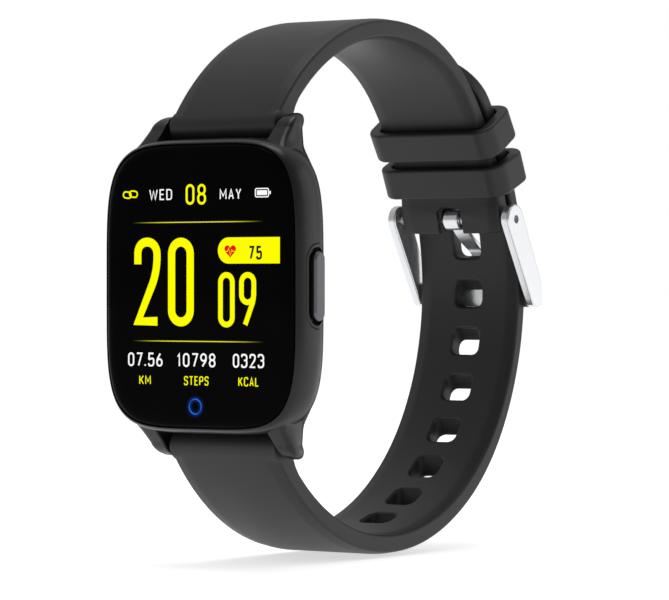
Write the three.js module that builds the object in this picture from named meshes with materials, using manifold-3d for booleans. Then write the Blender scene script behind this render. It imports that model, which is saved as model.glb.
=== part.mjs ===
// A square smartwatch on a two-piece silicone strap, fastened as it is when worn.
// Millimetres. +X is the button side, +Z is twelve o'clock, and +Y runs from the glass towards the wrist.
// Every shape is drawn with Y = 0 at the front of the glass. The last group moves the origin to the centre of
// the flat back of the case, where the watch rests on the wrist.
import * as THREE from "three";
import Module from "manifold-3d";
import { mergeVertices } from "three/addons/utils/BufferGeometryUtils.js";

// ---- Driving dimensions -------------------------------------------------------------------------------------

// Case: a rounded square, whose outline is a superellipse.
const CASE_HALF_WIDTH = 18.6;
const CASE_HALF_HEIGHT = 22.3;
const CASE_DEPTH = 11.0;
const CORNER_POWER = 4.65;
const OUTLINE_STEPS = 44;
const WALL_INSIDE = 16.0; // half-width of the cavity
const GLASS_HALF_WIDTH = 17.7;
const GLASS_BACK = 1.8;
const SHELF_FRONT = 2.1; // the ledge that the glass is glued to
const CAVITY_BACK = 8.2;
const COVER_SEAT = 9.0;
const CASE_BACK_EDGE = 9.7;

// Lugs and spring bars.
const LUG_INNER_FACE = 10.5;
const LUG_TAPER_FRONT = 6.15;
const LUG_TAPER_BACK = 11.3;
const LUG_TAPER = 2.1;
const BAR_Y = 8.72;
const BAR_Z = 24.3;
const BAR_RADIUS = 0.75;
const BAR_TIP_RADIUS = 0.42;
const BAR_HALF_LENGTH = 9.6;
const BAR_TIP_REACH = 11.7;
const BAR_TIP_START = 7.2;
const BAR_SOCKET_END = 5.4; // leaves room behind a tip for its spring and its travel

// Strap: two bands, thicker towards the lugs. Angles are those of the outward normal, in degrees above +Y.
const STRAP_THICKNESS = 2.8; // where the two bands lie on each other
const STRAP_THICKNESS_AT_LUG = 3.3;
const SHORT_THICKENING = [45, 72]; // the angles at which a band is thin and thick
const LONG_THICKENING = [-20, -50];
const STRAP_HALF_WIDTH_AT_LUG = 10.0;
const STRAP_HALF_WIDTH_AT_BACK = 9.65;
const STRAP_EDGE_WIDTH = 2.0; // the shallow slope along each edge
const STRAP_EDGE_DROP = 0.35;
const STRAP_STEP = 4.4;
const LUG_BARREL_RADIUS = 2.4;
const END_BARREL_RADIUS = 1.9;
const BARREL_BORE = 1.0;
const END_BARREL_HALF_WIDTH = 9.2;
const LOOP_CENTRE_Y = 38.55;
const LOOP_CENTRE_Z = 3.25;
const LOOP_RADIUS = 37.26;
const LAYER_STEP = 3.28; // from one band's middle to the other's, where they lie on each other
const SHORT_TURN_ANGLE = 76;
const SHORT_TURN_RADIUS = 26.165;
const SHORT_END_TURN_ANGLE = 40;
const SHORT_END_RADIUS = 53.6;
const PIN_ANGLE = 16;
const SHORT_END_ANGLE = 13.8;
const LONG_TURN_ANGLE = -31;
const LONG_TURN_RADIUS = 43.2;
const LONG_END_TURN_ANGLE = 14.5;
const LONG_TIP_ANGLE = 46;
const LONG_TIP_START_ANGLE = 36.5;

// Holes in the long band.
const HOLE_WIDTH = 5.2;
const HOLE_LENGTH = 4.4;
const HOLE_CORNER = 1.2;
const HOLE_PITCH = 8.3;
const TONGUE_HOLE_ANGLE = 9.63;
const HOLES_TOWARDS_CASE = 7;
const HOLES_TOWARDS_TIP = 2;

// Keepers: the two rubber loops that hold the end of the long band.
const KEEPER_LENGTH = 5.15;
const KEEPER_HALF_WIDTH = 12.1;
const KEEPER_INNER_RADIUS = 50.3;
const KEEPER_OUTER_RADIUS = 60.2;
const KEEPER_CORNER = 3.0;
const KEEPER_OPENING_HALF_WIDTH = 10.0;
const KEEPER_OPENING_INNER = 51.85;
const KEEPER_OPENING_OUTER = 58.62;
const FIXED_KEEPER_ANGLE = 23.8;
const SLIDING_KEEPER_ANGLE = 31.4;

// Buckle.
const ARM_INNER_FACE = 10.4;
const ARM_OUTER_FACE = 12.0;
const ARM_END_RADIUS = 2.45;
const ARM_HOLE_RADIUS = 0.7;
const PIN_RADIUS = 0.85;
const PIN_TIP_RADIUS = 0.55;
const PIN_BODY_HALF_LENGTH = 9.1;
const PIN_HALF_LENGTH = 11.3;
const CROSSBAR_BOTTOM = -3.6;
const CROSSBAR_TOP = 0.6;
const TONGUE_HALF_WIDTH = 1.4;
const TONGUE_THICKNESS = 0.9;
const TONGUE_BARREL_RADIUS = 1.7;
const NOTCH_HALF_WIDTH = 1.9;

// Button.
const BUTTON_Y = 5.5;
const BUTTON_WIDTH = 2.6;
const BUTTON_LENGTH = 10.45;
const BUTTON_FACE = 19.1;
const BUTTON_UNDERSIDE = 17.95;
const RECESS_WIDTH = 4.6;
const RECESS_LENGTH = 11.8;
const RECESS_FLOOR = 17.3;
const STEM_RADIUS = 0.7;
const STEM_HOLE_RADIUS = 0.85;
const STEM_END = 14.5;
const CLIP_X = [15.6, 15.84]; // the ring that holds the stem, in a groove a little wider
const CLIP_RADIUS = 1.2;
const CLIP_GROOVE_RADIUS = 0.45;
const SEAL_X = [16.3, 16.85];
const SEAL_RADIUS = 1.4;
const SWITCH_X = [12.3, 13.9];

// Inside of the case: [front, back] of each layer, and the half-widths of those that follow the outline.
const ADHESIVE_Y = [1.86, 2.04];
const ADHESIVE_HALF_WIDTHS = [16.2, 17.55];
const TOUCH_FILM_Y = [1.86, 2.0];
const TOUCH_FILM_HALF_WIDTH = 15.9;
const DISPLAY_Y = [2.06, 3.3];
const DISPLAY_HALF_WIDTH = 14.9;
const BRACKET_Y = [3.4, 4.0];
const BOARD_Y = [6.6, 7.2];
const SHIELD_Y = [5.4, 6.55];
const CHIP_Y = [7.25, 8.1];
const BATTERY_Y = [4.3, 7.7];
const BATTERY_PAD_Y = [7.76, 8.12];
const MOTOR_Y = [7.28, 9.2];
const MOTOR_RADIUS = 4;
const ANTENNA_Y = [4.3, 8];
const FLEX_THICKNESS = 0.1;
const FLEX_HALF_WIDTH = 4;

// Back of the case.
const COVER_HALF_WIDTH = 15.4;
const GASKET_Y = [9.05, 9.27];
const WINDOW_RADIUS = 6.0;
const WINDOW_FRONT = 10.2;
const LIGHT_HOLE_RADIUS = 5.0;
const SENSOR_BOARD_Y = [8.5, 9.05];
const SENSOR_BOARD_RADIUS = 6.5;
const LED_Y = [9.1, 9.8];
const LED_X = [2.0, 3.6];
const SCREW_X = 10.8;
const SCREW_Z = 14.6;
const SCREW_HEAD_Y = [10.26, 10.85];
const SCREW_HEAD_RADIUS = 1.2;
const SCREW_SHANK_RADIUS = 0.5;
const SCREW_SHANK_FRONT = 7.1;
const SLOT_HALF_LENGTH = 0.75;
const SLOT_HALF_WIDTH = 0.15;
const POST_FRONT = 6.4;
const POST_MARGIN = 1.5;
const CONTACT_X = 2.6;
const CONTACT_Z = -11.8;
const CONTACT_RADIUS = 1.0;
const CONTACT_FRONT = 9.4;
const CONTACT_FLANGE = 0.5;

// ---- Geometry helpers ---------------------------------------------------------------------------------------

const wasm = await Module();
wasm.setup();

const X_AXIS = new THREE.Vector3(1, 0, 0);
const Y_AXIS = new THREE.Vector3(0, 1, 0);
const Z_AXIS = new THREE.Vector3(0, 0, 1);
const CORNERS = [[1, 1], [-1, 1], [-1, -1], [1, -1]]; // signs of X and Z

function toSolid(geometry) {
  const bare = geometry.clone();
  bare.deleteAttribute("normal");
  bare.deleteAttribute("uv");
  const merged = mergeVertices(bare, 1e-4);
  return new wasm.Manifold(
    new wasm.Mesh({
      numProp: 3,
      vertProperties: new Float32Array(merged.attributes.position.array),
      triVerts: new Uint32Array(merged.index.array),
    }),
  );
}

function toGeometry(solid) {
  const mesh = solid.getMesh();
  const geometry = new THREE.BufferGeometry();
  geometry.setAttribute("position", new THREE.BufferAttribute(mesh.vertProperties, 3));
  geometry.setIndex(new THREE.BufferAttribute(mesh.triVerts, 1));
  const flat = geometry.toNonIndexed();
  flat.computeVertexNormals();
  return flat;
}

const joined = (...geometries) => toGeometry(geometries.map(toSolid).reduce((a, b) => a.add(b)));

function cut(geometry, ...tools) {
  return toGeometry(tools.map(toSolid).reduce((body, tool) => body.subtract(tool), toSolid(geometry)));
}

const common = (a, b) => toGeometry(toSolid(a).intersect(toSolid(b)));

// The two ends along X may come in either order, so that a mirrored piece is one with its signs turned.
function box(x0, x1, y0, y1, z0, z1) {
  return new THREE.BoxGeometry(Math.abs(x1 - x0), y1 - y0, Math.abs(z1 - z0)).translate(
    (x0 + x1) / 2,
    (y0 + y1) / 2,
    (z0 + z1) / 2,
  );
}

function cylinderX(radius, x0, x1, y, z, sides = 20) {
  const geometry = new THREE.CylinderGeometry(radius, radius, Math.abs(x1 - x0), sides);
  return geometry.rotateZ(-Math.PI / 2).translate((x0 + x1) / 2, y, z);
}

function cylinderY(radius, y0, y1, x, z, sides = 20) {
  return new THREE.CylinderGeometry(radius, radius, y1 - y0, sides).translate(x, (y0 + y1) / 2, z);
}

// A shape drawn in (Y, Z), extruded along X.
function extrudeX(shape, x0, x1) {
  const depth = Math.abs(x1 - x0);
  const geometry = new THREE.ExtrudeGeometry(shape, { depth, bevelEnabled: false, curveSegments: 5 });
  const basis = new THREE.Matrix4().makeBasis(Y_AXIS, Z_AXIS, X_AXIS);
  return geometry.applyMatrix4(basis).translate(Math.min(x0, x1), 0, 0);
}

// A shape drawn in (X, Z), extruded along Y.
function extrudeY(shape, y0, y1) {
  const geometry = new THREE.ExtrudeGeometry(shape, { depth: y1 - y0, bevelEnabled: false, curveSegments: 5 });
  const basis = new THREE.Matrix4().makeBasis(X_AXIS, Z_AXIS, Y_AXIS.clone().negate());
  return geometry.applyMatrix4(basis).translate(0, y1, 0);
}

function polygon(points) {
  return new THREE.Shape(points.map(([u, v]) => new THREE.Vector2(u, v)));
}

function roundedRectangle(width, height, radius, cu = 0, cv = 0) {
  const shape = new THREE.Shape();
  const [u, v] = [width / 2 - radius, height / 2 - radius];
  shape.absarc(cu + u, cv + v, radius, 0, Math.PI / 2);
  shape.absarc(cu - u, cv + v, radius, Math.PI / 2, Math.PI);
  shape.absarc(cu - u, cv - v, radius, Math.PI, 1.5 * Math.PI);
  shape.absarc(cu + u, cv - v, radius, 1.5 * Math.PI, 2 * Math.PI);
  return shape;
}

// A band of even thickness along a smooth curve in (Y, Z), as an outline.
function ribbonOutline(points, thickness, steps) {
  const curve = new THREE.SplineCurve(points.map(([y, z]) => new THREE.Vector2(y, z)));
  const side = (sign) =>
    Array.from({ length: steps + 1 }, (_, i) => {
      const tangent = curve.getTangent(i / steps);
      const normal = new THREE.Vector2(-tangent.y, tangent.x);
      return curve.getPoint(i / steps).addScaledVector(normal, (sign * thickness) / 2);
    });
  return new THREE.Shape([...side(-1), ...side(1).reverse()]);
}

// The case's rounded-square outline at a given half-width, in the direction of an angle.
function outlinePoint(halfWidth, angle) {
  const knee = CASE_HALF_WIDTH / 2;
  const growth = (CASE_HALF_HEIGHT - CASE_HALF_WIDTH) * Math.min(1, halfWidth / knee);
  const halfHeight = halfWidth + growth;
  const [c, s] = [Math.cos(angle), Math.sin(angle)];
  const reach =
    (Math.abs(c) / halfWidth) ** CORNER_POWER + (Math.abs(s) / halfHeight) ** CORNER_POWER;
  const radius = reach ** (-1 / CORNER_POWER);
  return [radius * c, radius * s];
}

// A body of the case's outline: a lathe whose profile is (half-width, Y), drawn out to the rounded square.
function pebble(profile) {
  const points = profile.map(([halfWidth, y]) => new THREE.Vector2(halfWidth, y));
  const geometry = new THREE.LatheGeometry(points, OUTLINE_STEPS);
  const place = geometry.attributes.position;
  for (let i = 0; i < place.count; i++) {
    const halfWidth = Math.hypot(place.getX(i), place.getZ(i));
    if (halfWidth < 1e-6) continue;
    const even = Math.atan2(place.getZ(i), place.getX(i));
    const crowded = even + 0.12 * Math.sin(4 * even); // more steps round the corners
    const [x, z] = outlinePoint(halfWidth, crowded);
    place.setXYZ(i, x, place.getY(i), z);
  }
  return geometry;
}

const plate = (halfWidth, y0, y1) => pebble([[0, y0], [halfWidth, y0], [halfWidth, y1], [0, y1]]);

function ring(inside, outside, y0, y1) {
  return pebble([[inside, y0], [outside, y0], [outside, y1], [inside, y1], [inside, y0]]);
}

function named(name, geometry, [colour, roughness, metalness]) {
  const material = new THREE.MeshStandardMaterial({ color: colour, roughness, metalness });
  const mesh = new THREE.Mesh(geometry, material);
  mesh.name = name;
  return mesh;
}

const CASE_BLACK = [0x1d1e20, 0.35, 0.1];
const GLASS_BLACK = [0x050506, 0.05, 0.0];
const SILICONE = [0x3a3b3d, 0.65, 0.0];
const POLISHED_STEEL = [0xd8dadd, 0.15, 1.0];
const BUTTON_METAL = [0x8c8e92, 0.25, 0.9];
const BOARD_GREEN = [0x1f4a33, 0.6, 0.0];
const CHIP_BLACK = [0x161616, 0.5, 0.0];
const BRASS_PLATED = [0xcfa95a, 0.3, 1.0];
const FILM_AMBER = [0xa8672a, 0.5, 0.0];
const FOIL_SILVER = [0xb7bbc0, 0.35, 0.8];
const RUBBER_BLACK = [0x151515, 0.8, 0.0];
const LED_GREEN = [0x7bd48a, 0.3, 0.0];

// ---- Strap centre lines -------------------------------------------------------------------------------------

const radians = THREE.MathUtils.degToRad;
const outward = (angle) => new THREE.Vector2(Math.cos(radians(angle)), Math.sin(radians(angle)));

// A chain of arcs that stay tangent: each turn is [angle, new radius], in the order they are met.
function arcChain(start, centre, radius, turns, end) {
  const arcs = [{ from: start, centre, radius }];
  for (const [angle, next] of turns) {
    const last = arcs.at(-1);
    last.to = angle;
    const moved = last.centre.clone().addScaledVector(outward(angle), last.radius - next);
    arcs.push({ from: angle, centre: moved, radius: next });
  }
  arcs.at(-1).to = end;
  return arcs;
}

function pointOn(arcs, angle, offset = 0) {
  const inside = ({ from, to }) => angle >= Math.min(from, to) - 1e-9 && angle <= Math.max(from, to) + 1e-9;
  const arc = arcs.find(inside) ?? arcs.at(-1);
  return arc.centre.clone().addScaledVector(outward(angle), arc.radius + offset);
}

// The angle that lies a distance further on along the chain, towards higher angles.
function walk(arcs, angle, distance) {
  const step = 0.05 * Math.sign(distance);
  let left = Math.abs(distance);
  while (left > 0) {
    left -= pointOn(arcs, angle).distanceTo(pointOn(arcs, angle + step));
    angle += step;
  }
  return angle;
}

const LUG_ANGLE = THREE.MathUtils.radToDeg(Math.atan2(BAR_Z - LOOP_CENTRE_Z, BAR_Y - LOOP_CENTRE_Y));
const shortLine = arcChain(
  LUG_ANGLE,
  new THREE.Vector2(LOOP_CENTRE_Y, LOOP_CENTRE_Z),
  LOOP_RADIUS,
  [[SHORT_TURN_ANGLE, SHORT_TURN_RADIUS], [SHORT_END_TURN_ANGLE, SHORT_END_RADIUS]],
  SHORT_END_ANGLE,
);
const longLine = arcChain(
  -LUG_ANGLE,
  new THREE.Vector2(LOOP_CENTRE_Y, -LOOP_CENTRE_Z),
  LOOP_RADIUS,
  [[LONG_TURN_ANGLE, LONG_TURN_RADIUS], [LONG_END_TURN_ANGLE, SHORT_END_RADIUS + LAYER_STEP]],
  LONG_TIP_ANGLE,
);
const END_CENTRE = shortLine.at(-1).centre; // the keepers and the buckle end lie round this point
const PIN = pointOn(shortLine, PIN_ANGLE, STRAP_THICKNESS / 2 - END_BARREL_RADIUS);

function bandHalfWidth(angle) {
  const share = THREE.MathUtils.clamp((Math.abs(angle) - 60) / (LUG_ANGLE - 60), 0, 1);
  return THREE.MathUtils.lerp(STRAP_HALF_WIDTH_AT_BACK, STRAP_HALF_WIDTH_AT_LUG, share);
}

function bandThickness(angle, [thin, thick]) {
  const share = THREE.MathUtils.clamp((angle - thin) / (thick - thin), 0, 1);
  return THREE.MathUtils.lerp(STRAP_THICKNESS, STRAP_THICKNESS_AT_LUG, share);
}

// The angles at which a band has a cross-section, from the highest to the lowest.
function stations(arcs, extra) {
  const angles = new Set(extra);
  for (const { from, to, radius } of arcs) {
    const steps = Math.ceil((radians(Math.abs(to - from)) * radius) / STRAP_STEP);
    for (let i = 0; i <= steps; i++) angles.add(from + ((to - from) * i) / steps);
  }
  const sorted = [...angles].sort((a, b) => b - a);
  return sorted.filter((angle, i) => i === 0 || sorted[i - 1] - angle > 0.2);
}

// A flat band with sloped edges, bent along its centre line. narrowing(angle) scales its width.
function band(arcs, thickening, extra, narrowing) {
  const angles = stations(arcs, extra);
  const last = angles.length - 1;
  const geometry = new THREE.BoxGeometry(1, 1, 1, 3, last, 1);
  const place = geometry.attributes.position;
  for (let i = 0; i < place.count; i++) {
    const angle = angles[Math.round((place.getY(i) + 0.5) * last)];
    const half = bandHalfWidth(angle) * narrowing(angle);
    const atEdge = Math.abs(place.getX(i)) > 0.4;
    const x = Math.sign(place.getX(i)) * (atEdge ? half : Math.max(half - STRAP_EDGE_WIDTH, half / 2));
    const rise = bandThickness(angle, thickening) / 2 - (atEdge ? STRAP_EDGE_DROP : 0);
    const at = pointOn(arcs, angle, Math.sign(place.getZ(i)) * rise);
    place.setXYZ(i, x, at.x, at.y);
  }
  return geometry;
}

// Places a shape's own X, Y and depth along X, the band's outward normal and its run, at a point of the loop.
function acrossBand(geometry, point, angle) {
  const out = outward(angle);
  const normal = new THREE.Vector3(0, out.x, out.y);
  const run = new THREE.Vector3().crossVectors(X_AXIS, normal);
  const basis = new THREE.Matrix4().makeBasis(X_AXIS, normal, run);
  return geometry.applyMatrix4(basis.setPosition(0, point.x, point.y));
}

function holeCutter(angle) {
  const shape = roundedRectangle(HOLE_WIDTH, HOLE_LENGTH, HOLE_CORNER);
  const depth = 3 * STRAP_THICKNESS;
  const geometry = new THREE.ExtrudeGeometry(shape, { depth, bevelEnabled: false, curveSegments: 3 });
  geometry.translate(0, 0, -depth / 2).rotateX(Math.PI / 2);
  return acrossBand(geometry, pointOn(longLine, angle), angle);
}

// ---- Case ---------------------------------------------------------------------------------------------------

// One lug's outline from the front, as wide as the case in front and drawn in towards its back.
function lugBlock(outline) {
  const tapered = extrudeY(outline, LUG_TAPER_FRONT, LUG_TAPER_BACK);
  const place = tapered.attributes.position;
  for (let i = 0; i < place.count; i++) {
    const x = place.getX(i);
    const atBack = place.getY(i) > LUG_TAPER_FRONT + 1;
    if (atBack) place.setX(i, x - (LUG_TAPER * (x - LUG_INNER_FACE)) / (CASE_HALF_WIDTH - LUG_INNER_FACE));
  }
  return joined(extrudeY(outline, 1, LUG_TAPER_FRONT), tapered);
}

function lugs() {
  const side = polygon([
    [2.2, 12], [2.2, 21.2], [3.85, 22.1], [6.9, 25.2], [8.05, 26.0], [9.35, 26.1], [10.45, 25.3],
    [10.95, 23.8], [10.6, 22.6], [9.6, 20.5], [9.6, 12],
  ]);
  const front = polygon([
    [13, 12], [LUG_INNER_FACE, 17], [LUG_INNER_FACE, 25.2], [10.9, 26.0], [11.8, 26.2], [12.7, 25.7],
    [13.45, 24.0], [13.7, 22.3], [14.4, 20.8], [16.1, 18.9], [17.6, 16.4], [18.3, 13.2],
  ]);
  const one = common(extrudeX(side, 9, 19), lugBlock(front));
  return CORNERS.map(([sx, sz]) => {
    const copy = one.clone().scale(sx, 1, sz);
    return sx * sz < 0 ? flipped(copy) : copy;
  });
}

// Turns the faces of a mirrored shape to point outwards again.
function flipped(geometry) {
  const place = geometry.attributes.position;
  for (let i = 0; i < place.count; i += 3) {
    const [a, b] = [i + 1, i + 2].map((j) => new THREE.Vector3().fromBufferAttribute(place, j));
    place.setXYZ(i + 1, b.x, b.y, b.z);
    place.setXYZ(i + 2, a.x, a.y, a.z);
  }
  geometry.computeVertexNormals();
  return geometry;
}

function caseFrame() {
  const outside = pebble([
    [0, 1.35], [17.95, 1.35], [18.15, 1.65], [18.15, 2.2], [18.45, 3.0], [CASE_HALF_WIDTH, 4.1],
    [CASE_HALF_WIDTH, 5.2], [18.2, 7.2], [17.4, 8.7], [16.5, CASE_BACK_EDGE], [0, CASE_BACK_EDGE],
  ]);
  const glassSeat = plate(GLASS_HALF_WIDTH + 0.1, 0, SHELF_FRONT);
  const cavity = plate(WALL_INSIDE, 1, CAVITY_BACK);
  const backOpening = plate(COVER_HALF_WIDTH - 1.4, CAVITY_BACK - 1, 12);
  const coverSeat = plate(COVER_HALF_WIDTH + 0.15, COVER_SEAT, 12);
  const hollow = cut(joined(outside, ...lugs()), glassSeat, cavity, backOpening, coverSeat);
  const posts = CORNERS.map(([sx, sz]) => {
    const block = box(
      sx * (SCREW_X - POST_MARGIN), sx * CASE_HALF_WIDTH, POST_FRONT, COVER_SEAT - 0.02,
      sz * (SCREW_Z - POST_MARGIN), sz * CASE_HALF_HEIGHT);
    return common(block, plate(WALL_INSIDE + 0.8, POST_FRONT - 0.4, COVER_SEAT));
  });
  const screwHoles = CORNERS.map(([sx, sz]) =>
    cylinderY(SCREW_SHANK_RADIUS + 0.08, SCREW_SHANK_FRONT - 0.2, 12, sx * SCREW_X, sz * SCREW_Z, 12));
  const recess = extrudeX(
    roundedRectangle(RECESS_WIDTH, RECESS_LENGTH, RECESS_WIDTH / 2 - 0.01, BUTTON_Y, 0), RECESS_FLOOR, 20);
  const stemHole = cylinderX(STEM_HOLE_RADIUS, 14, 18, BUTTON_Y, 0, 16);
  const sealSeat = cylinderX(SEAL_RADIUS + 0.05, 15, SEAL_X[1] + 0.05, BUTTON_Y, 0, 16);
  const barHoles = CORNERS.map(([sx, sz]) =>
    cylinderX(BAR_TIP_RADIUS + 0.13, sx * 10, sx * (BAR_TIP_REACH + 0.4), BAR_Y, sz * BAR_Z, 12));
  return cut(joined(hollow, ...posts), ...screwHoles, recess, stemHole, sealSeat, ...barHoles);
}

function coverGlass() {
  return pebble([
    [0, 0], [15.2, 0], [16.4, 0.12], [17.1, 0.4], [17.5, 0.8], [GLASS_HALF_WIDTH, 1.35],
    [GLASS_HALF_WIDTH, GLASS_BACK], [0, GLASS_BACK],
  ]);
}

function head() {
  const flex = ribbonOutline(
    [[3.44, -16.2], [3.46, -16.9], [3.8, -17.35], [4.14, -16.9], [4.14, -12], [4.14, -4], [4.14, 2.4],
      [4.9, 3.2], [6.0, 3.9], [6.42, 4.7], [6.5, 5.8]], FLEX_THICKNESS, 26);
  const boardOutline = polygon([[-12, 3], [11.2, 3], [11.2, -2.4], [14.2, -2.4], [14.2, 8], [12, 11],
    [9, 13], [9, 17], [-9, 17], [-9, 13], [-12, 11]]);
  return [
    named("cover_glass", coverGlass(), GLASS_BLACK),
    named("glass_adhesive", ring(...ADHESIVE_HALF_WIDTHS, ...ADHESIVE_Y), RUBBER_BLACK),
    named("touch_film", plate(TOUCH_FILM_HALF_WIDTH, ...TOUCH_FILM_Y), FILM_AMBER),
    named("display_panel", plate(DISPLAY_HALF_WIDTH, ...DISPLAY_Y), GLASS_BLACK),
    named("display_bracket", extrudeY(roundedRectangle(24.4, 31, 3, 0, 0.4), ...BRACKET_Y), FOIL_SILVER),
    named("display_flex", extrudeX(flex, -FLEX_HALF_WIDTH, FLEX_HALF_WIDTH), FILM_AMBER),
    named("main_board", extrudeY(boardOutline, ...BOARD_Y), BOARD_GREEN),
    named("shield_can", box(-9, 3, ...SHIELD_Y, 6.5, 15.8), FOIL_SILVER),
    named("memory_chip", box(-8.5, -2.5, ...CHIP_Y, 7, 12), CHIP_BLACK),
    named("motion_sensor", box(-1.6, 0.6, ...CHIP_Y, 6, 9), CHIP_BLACK),
    named("battery", extrudeY(roundedRectangle(22.4, 15, 1.2, -0.9, -5.1), ...BATTERY_Y), FOIL_SILVER),
    named("battery_pad", box(-10, 8, ...BATTERY_PAD_Y, -11, 1), RUBBER_BLACK),
    named("vibration_motor", cylinderY(MOTOR_RADIUS, ...MOTOR_Y, 5.2, 10.5, 32), FOIL_SILVER),
    named("antenna_strip", box(-8.8, 8.8, ...ANTENNA_Y, 18.6, 18.9), BRASS_PLATED),
  ];
}

function rearCover() {
  const shell = pebble([
    [0, 9.9], [12.4, 9.9], [13.5, 9.32], [COVER_HALF_WIDTH, 9.32], [COVER_HALF_WIDTH, 9.85], [14.6, 10.45],
    [13.3, CASE_DEPTH], [0, CASE_DEPTH],
  ]);
  const windowSeat = cylinderY(WINDOW_RADIUS + 0.1, WINDOW_FRONT - 0.05, 12, 0, 0, 40);
  const lightHole = cylinderY(LIGHT_HOLE_RADIUS, 9, CASE_DEPTH, 0, 0, 32);
  const screwHoles = CORNERS.flatMap(([sx, sz]) => [
    cylinderY(SCREW_SHANK_RADIUS + 0.15, 9, 12, sx * SCREW_X, sz * SCREW_Z, 12),
    cylinderY(SCREW_HEAD_RADIUS + 0.15, SCREW_HEAD_Y[0] - 0.06, 12, sx * SCREW_X, sz * SCREW_Z, 20),
  ]);
  const contactHoles = [-1, 1].map((side) =>
    cylinderY(CONTACT_RADIUS + 0.06, 9, 12, side * CONTACT_X, CONTACT_Z, 16));
  return cut(shell, windowSeat, lightHole, ...screwHoles, ...contactHoles);
}

// A screw with a cross recess: head below, shank towards the front of the watch.
function caseScrew(x, z) {
  const [front, back] = SCREW_HEAD_Y;
  const body = joined(
    cylinderY(SCREW_HEAD_RADIUS, front, back, x, z, 20),
    cylinderY(SCREW_SHANK_RADIUS, SCREW_SHANK_FRONT, front + 0.14, x, z, 12),
  );
  const slot = (dx, dz) => box(x - dx, x + dx, back - 0.3, back + 0.4, z - dz, z + dz);
  return cut(body, slot(SLOT_HALF_LENGTH, SLOT_HALF_WIDTH), slot(SLOT_HALF_WIDTH, SLOT_HALF_LENGTH));
}

function contact(x) {
  return joined(
    cylinderY(CONTACT_RADIUS, CONTACT_FRONT, CASE_DEPTH, x, CONTACT_Z, 16),
    cylinderY(CONTACT_RADIUS + CONTACT_FLANGE, CONTACT_FRONT, CONTACT_FRONT + 0.4, x, CONTACT_Z, 16),
  );
}

function back() {
  return [
    named("rear_gasket", ring(14.15, COVER_HALF_WIDTH, ...GASKET_Y), RUBBER_BLACK),
    named("rear_cover", rearCover(), CASE_BLACK),
    named("sensor_board", cylinderY(SENSOR_BOARD_RADIUS, ...SENSOR_BOARD_Y, 0, 0, 32), BOARD_GREEN),
    named("sensor_led_left", box(-LED_X[0], -LED_X[1], ...LED_Y, -0.8, 0.8), LED_GREEN),
    named("sensor_led_right", box(...LED_X, ...LED_Y, -0.8, 0.8), LED_GREEN),
    named("photodiode", box(-1.2, 1.2, ...LED_Y, -1.2, 1.2), CHIP_BLACK),
    named("sensor_window", cylinderY(WINDOW_RADIUS, WINDOW_FRONT, CASE_DEPTH, 0, 0, 40), GLASS_BLACK),
    named("charge_contact_left", contact(-CONTACT_X), BRASS_PLATED),
    named("charge_contact_right", contact(CONTACT_X), BRASS_PLATED),
    ...CORNERS.map(([sx, sz], i) =>
      named(`case_screw_${i + 1}`, caseScrew(sx * SCREW_X, sz * SCREW_Z), POLISHED_STEEL)),
  ];
}

// ---- Button -------------------------------------------------------------------------------------------------

function button() {
  const face = extrudeX(
    roundedRectangle(BUTTON_WIDTH, BUTTON_LENGTH, BUTTON_WIDTH / 2 - 0.01, BUTTON_Y, 0),
    BUTTON_UNDERSIDE, BUTTON_FACE);
  const [inner, outer] = CLIP_X;
  const groove = cut(
    cylinderX(CLIP_RADIUS, inner - 0.08, outer + 0.08, BUTTON_Y, 0, 16),
    cylinderX(CLIP_GROOVE_RADIUS, inner - 1, outer + 1, BUTTON_Y, 0, 16),
  );
  const stem = cut(cylinderX(STEM_RADIUS, STEM_END, BUTTON_UNDERSIDE + 0.4, BUTTON_Y, 0, 16), groove);
  const gap = 0.38; // half the width of the clip's open side
  const clip = cut(
    cylinderX(CLIP_RADIUS, inner, outer, BUTTON_Y, 0, 20),
    cylinderX(CLIP_GROOVE_RADIUS + 0.05, inner - 1, outer + 1, BUTTON_Y, 0, 16),
    box(inner - 1, outer + 1, BUTTON_Y - gap, BUTTON_Y + gap, 0, 2),
  );
  const seal = cut(
    cylinderX(SEAL_RADIUS, ...SEAL_X, BUTTON_Y, 0, 20),
    cylinderX(STEM_RADIUS + 0.04, 16, 17, BUTTON_Y, 0, 16),
  );
  return [
    named("button_cap", joined(face, stem), BUTTON_METAL),
    named("button_clip", clip, POLISHED_STEEL),
    named("button_seal", seal, RUBBER_BLACK),
    named("button_switch", box(...SWITCH_X, 4.8, SHIELD_Y[1], -1.6, 1.6), CHIP_BLACK),
  ];
}

// ---- Spring bars --------------------------------------------------------------------------------------------

function springBar(label, z) {
  const socket = (side) =>
    cylinderX(BAR_TIP_RADIUS + 0.07, side * BAR_SOCKET_END, side * (BAR_HALF_LENGTH + 1), BAR_Y, z, 12);
  const tip = (side) => cylinderX(BAR_TIP_RADIUS, side * BAR_TIP_START, side * BAR_TIP_REACH, BAR_Y, z, 12);
  const tube = cylinderX(BAR_RADIUS, -BAR_HALF_LENGTH, BAR_HALF_LENGTH, BAR_Y, z, 16);
  return [
    named(`spring_bar_${label}`, cut(tube, socket(-1), socket(1)), POLISHED_STEEL),
    named(`spring_tip_${label}_left`, tip(-1), POLISHED_STEEL),
    named(`spring_tip_${label}_right`, tip(1), POLISHED_STEEL),
  ];
}

// ---- Strap --------------------------------------------------------------------------------------------------

function barrelAtLug(z) {
  return cylinderX(LUG_BARREL_RADIUS, -STRAP_HALF_WIDTH_AT_LUG, STRAP_HALF_WIDTH_AT_LUG, BAR_Y, z, 24);
}

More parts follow.
